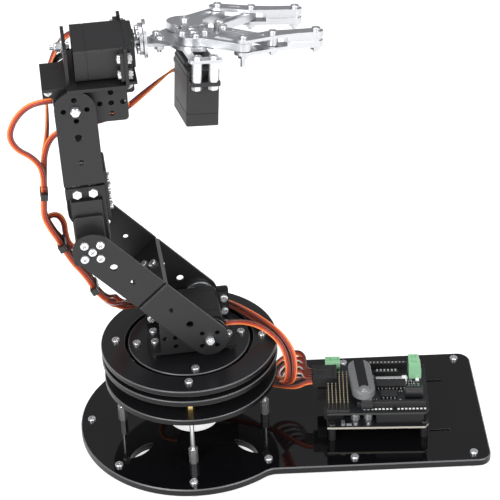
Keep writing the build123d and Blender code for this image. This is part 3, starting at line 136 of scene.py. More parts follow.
def material(name, colour, metallic=0.0, roughness=0.5, grain=None, mottle=0.0, **more):
    """Principled finish with optional fine surface grain (scale, strength) and uneven gloss."""
    made = bpy.data.materials.new(name)
    made.use_nodes = True
    tree = made.node_tree
    shader = tree.nodes["Principled BSDF"]
    shader.inputs["Base Color"].default_value = (*colour, 1)
    shader.inputs["Metallic"].default_value = metallic
    shader.inputs["Roughness"].default_value = roughness
    for key, value in more.items():
        shader.inputs[key.replace("_", " ")].default_value = value
    place = node_of(tree, "ShaderNodeTexCoord")
    if mottle:
        clouds = node_of(tree, "ShaderNodeTexNoise", Scale=90.0, Detail=4.0)
        spread = node_of(tree, "ShaderNodeMapRange")
        spread.inputs["To Min"].default_value = max(roughness - mottle, 0.02)
        spread.inputs["To Max"].default_value = roughness + mottle
        tree.links.new(place.outputs["Object"], clouds.inputs["Vector"])
        tree.links.new(clouds.outputs["Fac"], spread.inputs["Value"])
        tree.links.new(spread.outputs["Result"], shader.inputs["Roughness"])
    if grain:
        scale, strength = grain
        noise = node_of(tree, "ShaderNodeTexNoise", Scale=scale, Detail=3.0)
        bump = node_of(tree, "ShaderNodeBump", Strength=strength, Distance=0.0002)
        tree.links.new(place.outputs["Object"], noise.inputs["Vector"])
        tree.links.new(noise.outputs["Fac"], bump.inputs["Height"])
        tree.links.new(bump.outputs["Normal"], shader.inputs["Normal"])
    return made


finishes = {
    "black_anodised": material("black_anodised", (0.011, 0.011, 0.012), 0.2, 0.42, (2600, 0.12), 0.06),
    "acrylic_gloss": material("acrylic_gloss", (0.003, 0.003, 0.0035), 0.0, 0.06, None, 0.02),
    "acrylic_matte": material("acrylic_matte", (0.008, 0.008, 0.009), 0.0, 0.3, (900, 0.05), 0.05),
    "servo_case": material("servo_case", (0.010, 0.010, 0.011), 0.0, 0.5, (1900, 0.5), 0.05),
    "zinc_hardware": material("zinc_hardware", (0.72, 0.73, 0.74), 0.85, 0.27, (700, 0.08), 0.06),
    "brass_spacer": material("brass_spacer", (0.72, 0.5, 0.2), 1.0, 0.24, (700, 0.06), 0.05),
    "nylon_feet": material("nylon_feet", (0.72, 0.73, 0.72), 0.0, 0.35, None, 0.05, Transmission_Weight=0.35),
    "cast_aluminium": material("cast_aluminium", (0.64, 0.65, 0.67), 1.0, 0.36, (1300, 0.2), 0.08),
    "circuit_board": material("circuit_board", (0.010, 0.011, 0.013), 0.0, 0.35, (500, 0.06), 0.05),
    "header_black": material("header_black", (0.012, 0.012, 0.013), 0.0, 0.45, (1500, 0.2), 0.04),
    "gold_pins": material("gold_pins", (0.76, 0.57, 0.26), 1.0, 0.25, None, 0.05),
    "terminal_green": material("terminal_green", (0.25, 0.50, 0.29), 0.0, 0.42, (1200, 0.12), 0.05),
    "receiver_grey": material("receiver_grey", (0.13, 0.135, 0.14), 0.0, 0.42, (1200, 0.2), 0.06),
    "lead_orange": material("lead_orange", (0.62, 0.15, 0.035), 0.0, 0.42, (1400, 0.1), 0.05),
    "tie_black": material("tie_black", (0.010, 0.010, 0.010), 0.0, 0.38, (1200, 0.1), 0.04),
}
wire_finishes = {
    "orange": material("wire_orange", (0.80, 0.22, 0.05), 0.0, 0.40, (1400, 0.08), 0.05),
    "red": material("wire_red", (0.46, 0.04, 0.025), 0.0, 0.40, (1400, 0.08), 0.05),
    "brown": material("wire_brown", (0.17, 0.045, 0.028), 0.0, 0.42, (1400, 0.08), 0.05),
    "white": material("wire_white", (0.72, 0.68, 0.66), 0.0, 0.42, (1400, 0.08), 0.05),
}


def finish_cad_nodes():
    """Give each CAD node the procedural finish of its own material slot."""
    for piece in nodes.values():
        for slot in piece.material_slots:
            plain = slot.material.name.split(".")[0] if slot.material else ""
            if plain in finishes:
                slot.material = finishes[plain]
            else:
                print("no finish for", piece.name, plain)


finish_cad_nodes()


# ---------------------------------------------------------------- pieces with eased edges
def eased_copy(node, width, segments=2):
    """Stand-in for a CAD node with the same shape and small rounded edges that catch the light."""
    source = nodes[node]
    builder = bmesh.new()
    builder.from_mesh(source.data)
    bmesh.ops.remove_doubles(builder, verts=builder.verts, dist=0.002 * MM)
    bmesh.ops.dissolve_limit(
        builder, angle_limit=radians(0.5), verts=builder.verts, edges=builder.edges, delimit={"MATERIAL"}
    )
    mesh = bpy.data.meshes.new(node + "_eased")
    builder.to_mesh(mesh)
    builder.free()
    for slot in source.material_slots:
        mesh.materials.append(slot.material)
    holder = bpy.data.objects.new(node + "_plain", mesh)
    bpy.context.scene.collection.objects.link(holder)
    bevel = holder.modifiers.new("edge", "BEVEL")
    bevel.width = width * MM
    bevel.segments = segments
    bevel.limit_method = "ANGLE"
    bevel.angle_limit = radians(32)
    bevel.use_clamp_overlap = True
    bevel.miter_outer = "MITER_ARC"
    weigh = holder.modifiers.new("weigh", "WEIGHTED_NORMAL")
    weigh.keep_sharp = True
    for face in mesh.polygons:
        face.use_smooth = True
    mesh.set_sharp_from_angle(angle=radians(40))
    graph = bpy.context.evaluated_depsgraph_get()
    final = bpy.data.meshes.new_from_object(holder.evaluated_get(graph))
    final.name = node + "_eased"
    bpy.data.objects.remove(holder)
    piece = bpy.data.objects.new(node + "_eased", final)
    bpy.context.scene.collection.objects.link(piece)
    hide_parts(node)
    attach(piece, source["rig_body"])
    return piece


edge_widths = {
    "base_plate": 0.5, "lower_disc": 0.35, "middle_disc": 0.35, "top_ring": 0.35, "turntable_disc": 0.35,
    "shoulder_bracket": 0.3, "shoulder_long_bracket": 0.3, "elbow_long_bracket": 0.3, "elbow_bracket": 0.3,
    "wrist_long_bracket": 0.3, "wrist_bracket": 0.3, "roll_bracket": 0.3, "forearm_angle": 0.3,
    "shoulder_servo": 0.45, "elbow_servo": 0.45, "wrist_servo": 0.45, "roll_servo": 0.45,
    "gripper_servo": 0.45, "base_servo": 0.45, "gripper_angle": 0.3, "gripper_base": 0.3,
    "near_gear_link": 0.3, "far_gear_link": 0.3, "near_idler": 0.3, "far_idler": 0.3,
    "near_finger": 0.25, "far_finger": 0.25, "power_terminals": 0.2, "roll_horn": 0.2, "gripper_horn": 0.2,
    "shoulder_horn": 0.2, "elbow_horn": 0.2, "wrist_horn": 0.2, "base_screws": 0.2, "stack_rods": 0.2,
    "turntable_bolts": 0.2, "lower_arm_bolts": 0.2, "forearm_bolts": 0.2, "wrist_bolts": 0.2,
    "gripper_hardware": 0.2, "stack_spacers": 0.2, "forearm_ties": 0.25, "lower_arm_tie": 0.25,
}
for node, width in edge_widths.items():
    eased_copy(node, width)


# Painted light on the acrylic sheets: a darker, less glossy copy of the acrylic is painted shade on their
# upright sides, and a pale grey is a painted highlight on their eased rims.
acrylic_side_painted_shade = material("acrylic_side_painted_shade", (0.004, 0.004, 0.0045), 0.0, 0.35, Specular_IOR_Level=0.25)
acrylic_rim_painted_highlight = material("acrylic_rim_painted_highlight", (0.10, 0.10, 0.105), 0.0, 0.3)
UPRIGHT_BELOW = 0.2
FLAT_ABOVE = 0.95


def paint_rim_highlight_and_shade(node):
    """Edge of an acrylic sheet with light painted on: painted shade darkens the upright side, and a painted
    highlight pales the two eased rims.
    """
    mesh = bpy.data.objects[node + "_eased"].data
    mesh.materials.append(acrylic_side_painted_shade)
    mesh.materials.append(acrylic_rim_painted_highlight)
    rim_highlight = len(mesh.materials) - 1
    # Upright faces get the painted shade and sloped bevel faces the painted highlight.
    for face in mesh.polygons:
        slope = abs(face.normal.z)
        if slope < UPRIGHT_BELOW:
            face.material_index = rim_highlight - 1
        elif slope < FLAT_ABOVE:
            face.material_index = rim_highlight


for node in ("base_plate", "lower_disc", "middle_disc", "top_ring", "turntable_disc"):
    paint_rim_highlight_and_shade(node)


# ---------------------------------------------------------------- leads
WIRE_R = 0.66 * MM
WIRE_PITCH = 1.3 * MM
WIRE_SIDES = 10
ribbon_wires = ("orange", "red", "brown")


def nurbs_points(name, points):
    """Points along a smooth NURBS line through a route's control points."""
    line = bpy.data.curves.new(name + "_line", "CURVE")
    line.dimensions = "3D"
    line.resolution_u = 14
    spline = line.splines.new("NURBS")
    spline.points.add(len(points) - 1)
    for spot, point in zip(spline.points, points):
        spot.co = (*point, 1)
    spline.order_u = 3
    spline.use_endpoint_u = True
    holder = bpy.data.objects.new(name + "_line", line)
    bpy.context.scene.collection.objects.link(holder)
    mesh = bpy.data.meshes.new_from_object(holder)
    found = [vertex.co.copy() for vertex in mesh.vertices]
    bpy.data.objects.remove(holder)
    bpy.data.curves.remove(line)
    bpy.data.meshes.remove(mesh)
    kept = found[:1]
    for spot in found[1:]:
        if (spot - kept[-1]).length > 0.2 * MM:
            kept.append(spot)
    return kept


def travel(path):
    """Direction of the path at each of its points."""
    last = len(path) - 1
    return [(path[min(i + 1, last)] - path[max(i - 1, 0)]).normalized() for i in range(last + 1)]


def side_vectors(path, first, final):
    """Sideways direction at each point: carried along without twist, then eased to the wanted last one."""
    ways = travel(path)
    side = Vector(first)
    side = (side - side.dot(ways[0]) * ways[0]).normalized()
    sides = [side]
    for before, after in zip(ways, ways[1:]):
        side = before.rotation_difference(after) @ side
        side = (side - side.dot(after) * after).normalized()
        sides.append(side)
    if final is None:
        return ways, sides
    wanted = Vector(final)
    wanted = (wanted - wanted.dot(ways[-1]) * ways[-1]).normalized()
    twist = atan2(ways[-1].dot(sides[-1].cross(wanted)), sides[-1].dot(wanted))
    run = [0.0]
    for before, after in zip(path, path[1:]):
        run.append(run[-1] + (after - before).length)
    eased = [Quaternion(way, twist * at / run[-1]) @ side for way, side, at in zip(ways, sides, run)]
    return ways, eased


def add_wire(builder, path, ways, sides, across_by, up_by, finish, radius=WIRE_R):
    """One round wire that runs beside the path at a fixed offset in its moving frame."""
    rings = []
    for spot, way, side in zip(path, ways, sides):
        over = way.cross(side)
        centre = spot + side * across_by + over * up_by
        ring = []
        for step in range(WIRE_SIDES):
            angle = 2 * pi * step / WIRE_SIDES
            ring.append(builder.verts.new(centre + side * radius * cos(angle) + over * radius * sin(angle)))
        rings.append(ring)
    for before, after in zip(rings, rings[1:]):
        for step in range(WIRE_SIDES):
            following = (step + 1) % WIRE_SIDES
            face = builder.faces.new((before[step], before[following], after[following], after[step]))
            face.material_index = finish
            face.smooth = True
    for ring, flip in ((rings[0], True), (rings[-1], False)):
        face = builder.faces.new(ring[::-1] if flip else ring)
        face.material_index = finish


def finished(builder, name, materials):
    """New piece from a finished bmesh."""
    mesh = bpy.data.meshes.new(name)
    bmesh.ops.recalc_face_normals(builder, faces=builder.faces)
    builder.to_mesh(mesh)
    builder.free()
    for each in materials:
        mesh.materials.append(each)
    piece = bpy.data.objects.new(name, mesh)
    bpy.context.scene.collection.objects.link(piece)
    return piece


wire_names = list(wire_finishes)


def add_ribbon(builder, path, first, final, wires=ribbon_wires):
    """Flat lead of several wires side by side."""
    ways, sides = side_vectors(path, first, final)
    for index, wire in enumerate(wires):
        offset = (index - (len(wires) - 1) / 2) * WIRE_PITCH
        add_wire(builder, path, ways, sides, offset, 0.0, wire_names.index(wire))


def add_loose(builder, path, first, ribbons, spread, turns=0.0):
    """Flat leads stacked at both ends of a run and drifting apart a little between them."""
    ways, sides = side_vectors(path, first, None)
    count = len(path) - 1
    for row, wires in enumerate(ribbons):
        stacked = (row - (len(ribbons) - 1) / 2) * WIRE_PITCH
        strand = []
        strand_sides = []
        for i, (spot, way, side) in enumerate(zip(path, ways, sides)):
            share = i / count
            side = Quaternion(way, 2 * pi * turns * share) @ side
            over = way.cross(side)
            drift = spread * MM * sin(pi * share) ** 2
            phase = 2.4 * row + 5.0 * share
            strand.append(spot + over * (stacked + drift * cos(phase)) + side * drift * sin(phase))
            strand_sides.append(side)
        strand_ways = travel(strand)
        for index, wire in enumerate(wires):
            offset = (index - (len(wires) - 1) / 2) * WIRE_PITCH
            add_wire(builder, strand, strand_ways, strand_sides, offset, 0.0, wire_names.index(wire))


def placed(points, home, shift=0.0):
    """Points of a frame, in mm, as places in the scene, moved sideways by shift."""
    return [home @ Vector((x * MM, (y + shift) * MM, z * MM)) for x, y, z in points]


def in_plane(home, points, last=False):
    """Direction in the arm's own plane, square to the route's first or last run."""
    pair = points[-2:] if last else points[:2]
    run = (pair[1] - pair[0]).normalized()
    return run.cross(home.to_3x3() @ Vector((0, 1, 0)))


def lead_piece(builder, name, node):
    """Piece of wires that takes the place of a lead's plain tubes."""
    piece = finished(builder, name, [wire_finishes[each] for each in wire_names])
    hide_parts(node)
    return piece


def gripper_lead():
    """Claw servo's lead, flat side to the front, as far as the wrist."""
    route = [(71.38, 6.14, -15.64), (71.0, 13.5, -14.5), (71.5, 17.0, -5.5), (65.5, 15.0, 1.0)]
    route += [(50.5, 4.0, -4.0), (34.5, -2.8, -12.8)]
    points = placed(route, WRIST)
    builder = bmesh.new()
    path = nurbs_points("gripper_lead", points)
    facing = WRIST.to_3x3() @ Vector((-0.56, 0.45, 0.70))
    add_ribbon(builder, path, facing, facing)
    piece = lead_piece(builder, "gripper_lead_wires", "gripper_lead")
    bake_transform(piece)


gather = (-85.1, 0.0, 197.0)


def wrist_leads():
    """Leads of the wrist, the claw and the roll servo, which meet at the first tie."""
    builder = bmesh.new()
    pitch = [(-74.06, -12.3, 262.1), (-82.6, -12.3, 262.1), (-92.0, -10.6, 257.5), (-99.5, -7.8, 247.5)]
    pitch += [(-103.0, -5.0, 236.0), (-99.0, -3.4, 226.0), (-90.0, -2.8, 219.5), (-84.0, -2.6, 209.0)]
    pitch += [(-85.1, -2.6, 197.0)]
    own = [(-27.06, -2.8, 249.3), (-40.1, -7.1, 243.5), (-54.5, -5.0, 240.5), (-67.0, -2.0, 237.0)]
    own += [(-77.0, 0.0, 231.5), (-82.3, 0.0, 221.5), (-84.0, 0.0, 209.0), gather]
    roll = [(-54.76, 20.2, 287.5), (-54.76, 28.2, 287.5), (-63.5, 30.5, 283.0), (-70.5, 26.0, 274.5)]
    roll += [(-75.5, 20.5, 264.5), (-77.5, 19.5, 252.0), (-78.0, 16.0, 240.0), (-79.5, 8.5, 229.0)]
    roll += [(-82.5, 3.6, 219.0), (-84.0, 2.6, 209.0), (-85.1, 2.6, 197.0)]
    for index, route in enumerate((pitch, own, roll)):
        points = placed(route, ARM)
        path = nurbs_points(f"wrist_lead_{index}", points)
        begin = in_plane(ARM, points) if index != 2 else ARM.to_3x3() @ Vector((0, 0, 1))
        add_ribbon(builder, path, begin, in_plane(ARM, points, True))
    piece = lead_piece(builder, "wrist_leads_wires", "wrist_leads")
    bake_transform(piece)


def forearm_leads():
    """Three leads between the forearm's ties, and the elbow servo's own looped one."""
    builder = bmesh.new()
    run = [gather, (-86.1, 0.0, 186.1), (-87.3, 0.0, 176.0), (-84.0, 0.0, 166.0), (-79.5, 0.0, 157.0)]
    run += [(-76.3, 0.0, 149.0)]
    for index, shift in enumerate((-2.6, 0.0, 2.6)):
        points = placed(run, ARM, shift)
        path = nurbs_points(f"forearm_lead_{index}", points)
        add_ribbon(builder, path, in_plane(ARM, points), in_plane(ARM, points, True))
    own = [(-59.2, 12.3, 149.7), (-59.05, 12.3, 142.2), (-66.5, 12.0, 138.5), (-73.5, 11.2, 144.0)]
    own += [(-75.0, 10.4, 154.0), (-75.0, 9.2, 163.5), (-79.0, 6.5, 171.5), (-86.0, 5.2, 170.5)]
    own += [(-85.0, 5.2, 163.0), (-79.5, 5.2, 157.0), (-76.3, 5.2, 149.0)]
    points = placed(own, ARM)
    path = nurbs_points("elbow_servo_lead", points)
    add_ribbon(builder, path, in_plane(ARM, points), in_plane(ARM, points, True))
    piece = lead_piece(builder, "forearm_leads_wires", "forearm_leads")
    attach(piece, "forearm")


def elbow_leads():
    """Four leads beside each other across the elbow."""
    builder = bmesh.new()
    run = [(-76.3, 0.0, 149.0), (-72.7, 0.0, 140.0), (-67.0, 0.0, 131.5), (-62.5, 0.0, 123.0)]
    run += [(-58.5, 0.0, 113.9)]
    for index, shift in enumerate((-2.6, 0.0, 2.6, 5.2)):
        points = placed(run, ARM, shift)
        path = nurbs_points(f"elbow_lead_{index}", points)
        add_ribbon(builder, path, in_plane(ARM, points), in_plane(ARM, points, True))
    piece = lead_piece(builder, "elbow_leads_wires", "elbow_leads")
    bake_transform(piece)


pale_wires = ("white", "red", "brown")
full_bundle = [ribbon_wires, ribbon_wires, pale_wires, ribbon_wires]


def lower_arm_leads():
    """Loose bundle from the lower arm's tie to the turntable; returns its last sideways direction."""
    builder = bmesh.new()
    run = [(-58.1, 1.3, 113.0), (-54.5, 3.0, 105.5), (-49.5, 9.5, 97.5), (-44.0, 18.5, 88.5)]
    run += [(-37.5, 28.5, 80.0), (-29.0, 36.0, 75.5)]
    points = placed(run, ARM)
    path = nurbs_points("lower_arm_lead", points)
    add_loose(builder, path, in_plane(ARM, points), full_bundle, 2.6)
    piece = lead_piece(builder, "lower_arm_leads_wires", "lower_arm_leads")
    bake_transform(piece)
    return side_vectors(path, in_plane(ARM, points), None)[1][-1]


def shoulder_leads(first):
    """Bundle over the ring and down past its edge, and the shoulder servo's own lead beside it."""
    builder = bmesh.new()
    run = [(-29.0, 36.0, 75.5), (-21.35, 42.75, 71.45), (-7.0, 45.5, 69.8), (8.0, 43.5, 69.8)]
    run += [(22.5, 38.5, 69.8), (34.5, 27.5, 69.9), (44.5, 14.0, 70.2), (52.5, 0.0, 70.6)]
    run += [(60.0, -13.0, 69.5), (65.5, -21.5, 63.0), (66.8, -25.0, 54.0), (66.5, -24.5, 44.0)]
    run += [(65.5, -20.5, 36.5), (62.5, -13.5, 31.5)]
    points = placed(run, ARM)
    path = nurbs_points("shoulder_lead", points)
    add_loose(builder, path, first, full_bundle, 0.9, 0.25)
    own = [(23.7, -12.3, 84.5), (31.2, -12.3, 84.5), (39.5, -8.5, 80.0), (47.0, -6.5, 75.0)]
    own += [(54.0, -12.5, 72.2)]
    own += [(59.5, -20.0, 68.5), (62.0, -25.5, 62.0), (63.0, -27.5, 53.0), (62.5, -26.5, 44.0)]
    own += [(61.5, -22.0, 36.5), (60.0, -15.0, 31.5)]
    own_points = placed(own, ARM)
    own_path = nurbs_points("shoulder_servo_lead", own_points)
    add_ribbon(builder, own_path, in_plane(ARM, own_points), None)
    piece = lead_piece(builder, "shoulder_leads_wires", "shoulder_leads")
    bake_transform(piece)
    return side_vectors(path, first, None)[1][-1]


PITCH = 2.54
PLUG_COUNT = 6
PLUG_HALF = 7.2


def plug_mouths():
    """Rear ends of the lead plugs, from the back of the board forwards."""
    low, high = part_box("lead_plugs")
    middle = BOARD.inverted() @ ((low + high) / 2)
    ends = []
    for index in range(PLUG_COUNT):
        away = (PLUG_COUNT - 1) / 2 - index
        ends.append(BOARD @ Vector((middle.x - PLUG_HALF * MM, middle.y + away * PITCH * MM, middle.z)))
    return ends


def controller_leads(first):
    """Looped leads from the stack to the plugs, and the base servo's own lead under the stack."""
    builder = bmesh.new()
    loop = [(63.7, -5.7, 31.5), (58.7, 1.4, 27.0), (55.5, 10.5, 24.5), (57.0, 18.5, 25.0), (64.5, 25.0, 27.5)]
    loop += [(73.5, 26.5, 30.5), (78.5, 19.0, 31.5)]
    base_points = placed(loop, PLATE)
    ends = plug_mouths()
    straight = BOARD.to_3x3() @ Vector((-1, 0, 0))
    for index, share in enumerate((1.0, 0.72, 0.5, 0.3, 0.14)):
        end = ends[index]
        last = len(base_points) - 1
        lift = Vector((0, 0, (1.6 - 0.8 * index) * MM))
        points = []
        for i, point in enumerate(base_points):
            line = base_points[0].lerp(end + straight * 6 * MM, i / last)
            ease = min(i, 2) / 2
            points.append(line.lerp(point, share) + lift * ease)
        points += [end + straight * 5.0 * MM, end]
        path = nurbs_points(f"controller_lead_{index}", points)
        add_ribbon(builder, path, first, UP, ribbon_wires if index == 0 else pale_wires)
    own = [(-12.5, 0.0, 20.5), (-19.5, 0.0, 20.5), (-24.5, 7.5, 20.0), (-23.0, 17.0, 20.0)]
    own += [(-14.0, 23.5, 20.5), (-1.0, 25.0, 20.5), (13.0, 22.5, 20.0), (27.0, 18.0, 19.5)]
    own += [(41.0, 12.0, 19.0), (55.0, 5.5, 19.5)]
    own_points = placed(own, PLATE)
    own_points += [ends[5] + straight * 12 * MM - UP * 5 * MM, ends[5] + straight * 4 * MM, ends[5]]
    own_path = nurbs_points("base_servo_lead", own_points)
    add_ribbon(builder, own_path, Vector((0, 1, 0)), UP)
    piece = lead_piece(builder, "controller_leads_wires", "controller_leads")
    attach(piece, "base")


gripper_lead()
wrist_leads()
forearm_leads()
elbow_leads()
trunk_side = lower_arm_leads()
trunk_side = shoulder_leads(trunk_side)
controller_leads(trunk_side)


# ---------------------------------------------------------------- controller
detail_finishes = [
    finishes["header_black"],
    material("solder_pale", (0.62, 0.63, 0.62), 0.6, 0.35),
    finishes["zinc_hardware"],
    material("marking_white", (0.75, 0.75, 0.74), 0.0, 0.5),
    material("band_black", (0.006, 0.006, 0.007), 0.0, 0.2),
    finishes["receiver_grey"],
    material("board_edge", (0.42, 0.40, 0.34), 0.0, 0.5),
    finishes["circuit_board"],
    material("satin_grey", (0.20, 0.205, 0.21), 0.3, 0.2),
    material("shield_edge", (0.03, 0.03, 0.028), 0.0, 0.5),
    # Painted light on the header pins: a near-black gold is painted shade on their sides, and a pale gold is
    # a painted highlight on their tops.
    material("gold_side_painted_shade", (0.03, 0.022, 0.012), 0.2, 0.55),
    material("gold_top_painted_highlight", (0.95, 0.82, 0.55), 0.3, 0.4),
]
BLACK, SOLDER, BRIGHT, WHITE, BAND, GREY, EDGE, MASK, SATIN, DIM_EDGE, PIN_PAINTED_SHADE, PIN_PAINTED_HIGHLIGHT = range(12)


def add_block(builder, x, y, z, long, wide, high, finish):
    """Block centred on (x, y) of the shield, standing z above its top, sizes in mm."""
    corners = []
    for up in (0, high):
        for across_x, across_y in ((-1, -1), (1, -1), (1, 1), (-1, 1)):
            spot = Vector((x + across_x * long / 2, y + across_y * wide / 2, z + up + board_half)) * MM
            corners.append(builder.verts.new(BOARD @ spot))
    faces = [(3, 2, 1, 0), (4, 5, 6, 7), (0, 1, 5, 4), (1, 2, 6, 5), (2, 3, 7, 6), (3, 0, 4, 7)]
    for face in faces:
        made = builder.faces.new([corners[i] for i in face])
        made.material_index = finish


def add_lathe(builder, x, y, z, outline, finish, sides=28):
    """Turned shape round an upright axis of the shield; outline is (radius, height) pairs in mm."""
    rings = []
    for radius, height in outline:
        ring = []
        for step in range(sides):
            angle = 2 * pi * step / sides
            spot = Vector((x + radius * cos(angle), y + radius * sin(angle), z + height + board_half)) * MM
            ring.append(builder.verts.new(BOARD @ spot))
        rings.append(ring)
    for before, after in zip(rings, rings[1:]):
        for step in range(sides):
            following = (step + 1) % sides
            face = builder.faces.new((before[step], before[following], after[following], after[step]))
            face.material_index = finish
            face.smooth = True
    for ring in (rings[0], rings[-1]):
        builder.faces.new(ring).material_index = finish


def eased(piece, width):
    """Round the piece's edges and bake the result into its mesh."""
    bevel = piece.modifiers.new("edge", "BEVEL")
    bevel.width = width * MM
    bevel.segments = 2
    bevel.limit_method = "ANGLE"
    bevel.angle_limit = radians(40)
    graph = bpy.context.evaluated_depsgraph_get()
    final = bpy.data.meshes.new_from_object(piece.evaluated_get(graph))
    piece.modifiers.clear()
    piece.data = final
    return piece


board_half = (shield_high.z - shield_low.z) / 2 / MM


def socket_rows():
    """Contacts of the headers, seen as small pale squares in the black strips."""
    builder = bmesh.new()
    for index in range(17):
        if index != 8:
            add_block(builder, -9.0 + index * PITCH, -22.7, 0.0, 1.5, 1.4, 0.3, WHITE)
            add_block(builder, -11.0 + index * PITCH, -20.05, 4.98, 0.9, 0.9, 0.1, MASK)
    for index in range(11):
        add_block(builder, -5.7 + index * PITCH, 23.25, 4.98, 1.0, 1.0, 0.25, SOLDER)
    add_block(builder, 7.6, 16.6, 0.0, 17.0, 2.5, 2.5, BLACK)
    for index in range(6):
        add_block(builder, 1.2 + index * PITCH, 16.6, 2.48, 1.2, 1.2, 1.2, SOLDER)
    piece = eased(finished(builder, "header_contacts", detail_finishes), 0.08)
    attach(piece, "base")


def small_parts():
    """Chip legs, chip resistors and screws that sit on the two boards."""
    builder = bmesh.new()
    for side in (-1, 1):
        for index in range(8):
            add_block(builder, 1.3 + index * PITCH, 2.5 + side * 4.2, 0.0, 0.7, 1.2, 1.7, BRIGHT)
        for index in range(4):
            add_block(builder, 4.3 + index * PITCH, -8.0 + side * 3.7, 0.0, 0.7, 1.2, 1.4, BRIGHT)
    spots = [(23.5, 9.5), (23.5, 7.3), (26.0, 5.2), (23.4, 4.4), (22.6, 1.2)]
    spots += [(25.6, 2.0), (28.8, 3.4), (16.3, -3.6), (-1.6, 12.8), (-1.2, -12.4)]
    spots += [(15.6, -13.8), (20.6, -14.6), (25.6, -15.2), (-2.4, 8.6), (30.4, -1.6)]
    for index, (x, y) in enumerate(spots):
        long, wide = (2.0, 1.2) if index % 2 else (1.2, 2.0)
        add_block(builder, x, y, 0.0, long, wide, 0.55, BLACK)
        step_x, step_y = (0.85, 0) if index % 2 else (0, 0.85)
        for side in (-1, 1):
            cap = (0.45, 1.25) if index % 2 else (1.25, 0.45)
            add_block(builder, x + side * step_x, y + side * step_y, 0.0, cap[0], cap[1], 0.6, SOLDER)
    add_block(builder, 28.5, 11.0 - 2.2, 0.0, 2.4, 2.4, 1.3, WHITE)
    for x, y, top in ((-32.1, 22.6, 7.4), (-26.9, 22.6, 7.4), (26.4, 13.25, 11.8), (26.4, 18.75, 11.8)):
        add_lathe(builder, x, y, top - 3.0, [(1.75, 0), (1.75, 2.6), (1.5, 2.85)], BRIGHT)
    add_block(builder, -23.5, -23.4, -11.8, 2.6, 4.0, 2.0, BRIGHT)
    add_block(builder, -19.6, -24.4, -11.8, 3.6, 1.6, 0.8, SOLDER)
    add_block(builder, -15.0, -24.6, -11.8, 2.0, 1.6, 1.4, BRIGHT)
    add_block(builder, -6.5, -24.6, -11.8, 2.0, 1.6, 1.4, BRIGHT)
    piece = eased(finished(builder, "board_small_parts", detail_finishes), 0.08)
    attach(piece, "base")


def receiver_details():
    """Plain dark band along the receiver, and the dome at its front end."""
    top = 14.5
    turn = radians(5)
    builder = bmesh.new()

    def on_case(forward):
        """Point of the case's top, this far along its length from its middle."""
        return -10.5 - forward * sin(turn), -3.5 + forward * cos(turn)

    add_bar(builder, on_case(-12.5), on_case(17.5), 6.6, top - 0.2, 0.35, BAND)
    dome = [(3.9, 0.0)]
    for step in range(1, 9):
        angle = pi / 2 * step / 9
        dome.append((3.9 * cos(angle), 2.2 * sin(angle)))
    add_lathe(builder, *on_case(-15.4), top - 0.5, dome, SATIN)
    piece = finished(builder, "receiver_trim", detail_finishes)
    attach(piece, "base")


def add_bar(builder, start, end, wide, z, high, finish):
    """Flat bar between two points of the shield."""
    way = (Vector(end) - Vector(start)).normalized()
    side = Vector((-way.y, way.x)) * wide / 2
    corners = []
    for up in (0, high):
        for spot in (Vector(start) - side, Vector(end) - side, Vector(end) + side, Vector(start) + side):
            corners.append(builder.verts.new(BOARD @ (Vector((spot.x, spot.y, z + up + board_half)) * MM)))
    for face in [(3, 2, 1, 0), (4, 5, 6, 7), (0, 1, 5, 4), (1, 2, 6, 5), (2, 3, 7, 6), (3, 0, 4, 7)]:
        builder.faces.new([corners[i] for i in face]).material_index = finish


def islands(mesh):
    """Separate shells of a mesh, as lists of its faces."""
    owner = list(range(len(mesh.vertices)))

    def find(i):
        while owner[i] != i:
            owner[i] = owner[owner[i]]
            i = owner[i]
        return i

    for edge in mesh.edges:
        a, b = find(edge.vertices[0]), find(edge.vertices[1])
        if a != b:
            owner[a] = b
    groups = {}
    for face in mesh.polygons:
        groups.setdefault(find(face.vertices[0]), []).append(face)
    return list(groups.values())


def paint_shells(piece, choose):
    """Give each shell, or each face of it, the finish that choose(low, high, face) names."""
    mesh = piece.data
    mesh.materials.clear()
    for each in detail_finishes:
        mesh.materials.append(each)
    home = BOARD.inverted()
    for shell in islands(mesh):
        spots = [home @ mesh.vertices[i].co for face in shell for i in face.vertices]
        low = Vector([min(spot[i] for spot in spots) for i in range(3)]) / MM
        high = Vector([max(spot[i] for spot in spots) for i in range(3)]) / MM
        for face in shell:
            face.material_index = choose(low, high, face)


def board_finish(low, high, face):
    """Boards are black with pale edges, cans and screws bright, everything else black."""
    long, wide = high.x - low.x, high.y - low.y
    if long > 60:
        if abs(face.normal.z) >= 0.3:
            return MASK
        return EDGE if high.z < -5 else DIM_EDGE
    if long < 5.9 and wide < 5.9 and high.z > -9.0:
        return BRIGHT
    if 6.0 < long < 6.6 and 6.0 < wide < 6.6:
        return BRIGHT
    return BLACK


def shield_part_finish(low, high, face):
    long, wide = high.x - low.x, high.y - low.y
    if long > 20.5 and wide < 3.0:
        return BRIGHT
    if long < 3.5 and 5.0 < wide < 7.0:
        return WHITE
    return BLACK


def receiver_finish(low, high, face):
    """The case is grey and the plug under it black."""
    height = (BOARD.inverted() @ face.center).z / MM - board_half
    return GREY if height > 7.4 else BLACK


def pin_painted_light(low, high, face):
    """Painted light on the pins: a painted highlight on their tops and painted shade on their sides."""
    return PIN_PAINTED_HIGHLIGHT if face.normal.z > 0.3 else PIN_PAINTED_SHADE


paint_shells(eased_copy("controller_board", 0.12), board_finish)
paint_shells(eased_copy("header_pins", 0.08), pin_painted_light)
paint_shells(eased_copy("servo_shield", 0.12), board_finish)
paint_shells(eased_copy("board_parts", 0.15), shield_part_finish)
paint_shells(eased_copy("receiver", 0.2), receiver_finish)
for node in ("pin_blocks", "lead_plugs"):
    eased_copy(node, 0.2)
socket_rows()
small_parts()
receiver_details()


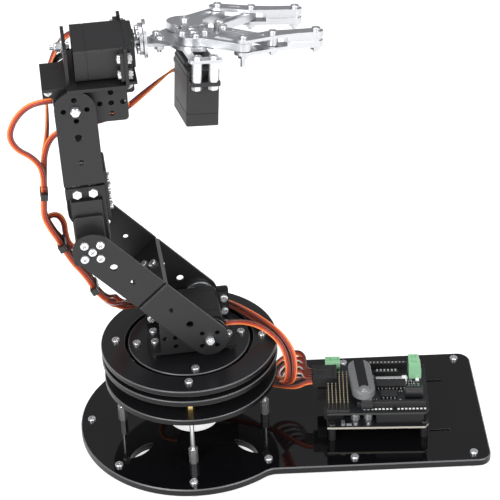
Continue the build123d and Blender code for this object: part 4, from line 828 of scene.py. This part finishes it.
# ---------------------------------------------------------------- studio
def studio():
    floor_mesh = bpy.data.meshes.new("floor")
    reach = 6.0
    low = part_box("base_feet")[0].z
    corners = [(-reach, -reach, low), (reach, -reach, low), (reach, reach, low), (-reach, reach, low)]
    floor_mesh.from_pydata(corners, [], [(0, 1, 2, 3)])
    floor = bpy.data.objects.new("floor", floor_mesh)
    pale = material("floor_pale", (0.6, 0.6, 0.6), 0.0, 0.8)
    lit = pale.node_tree.nodes["Principled BSDF"]
    lit.inputs["Emission Color"].default_value = (1, 1, 1, 1)
    lit.inputs["Emission Strength"].default_value = 0.72
    floor_mesh.materials.append(pale)
    bpy.context.scene.collection.objects.link(floor)
    world = bpy.data.worlds.new("studio")
    bpy.context.scene.world = world
    world.use_nodes = True
    tree = world.node_tree
    background = tree.nodes["Background"]
    background.inputs["Strength"].default_value = 1.0
    place = tree.nodes.new("ShaderNodeTexCoord")
    split = tree.nodes.new("ShaderNodeSeparateXYZ")
    ramp = tree.nodes.new("ShaderNodeValToRGB")
    ramp.color_ramp.elements[0].position = 0.0
    ramp.color_ramp.elements[0].color = (0.25, 0.25, 0.26, 1)
    ramp.color_ramp.elements[1].position = 1.0
    ramp.color_ramp.elements[1].color = (0.38, 0.38, 0.39, 1)
    tree.links.new(place.outputs["Generated"], split.inputs["Vector"])
    tree.links.new(split.outputs["Z"], ramp.inputs["Fac"])
    tree.links.new(ramp.outputs["Color"], background.inputs["Color"])
    lamps = [
        ("key", (-0.9, -1.4, 1.2), 1.2, 34),
        ("fill", (1.2, -1.3, 1.1), 1.0, 20),
        ("top", (0.0, 0.1, 2.3), 1.2, 16),
    ]
    for name, place, size, power in lamps:
        data = bpy.data.lights.new(name, "AREA")
        data.shape = "SQUARE"
        data.size = size
        data.energy = power
        lamp = bpy.data.objects.new(name, data)
        lamp.location = place
        aim = Vector((0.03, 0, 0.1)) - Vector(place)
        lamp.rotation_euler = aim.to_track_quat("-Z", "Y").to_euler()
        bpy.context.scene.collection.objects.link(lamp)
    bpy.context.scene.view_settings.view_transform = "Standard"


studio()
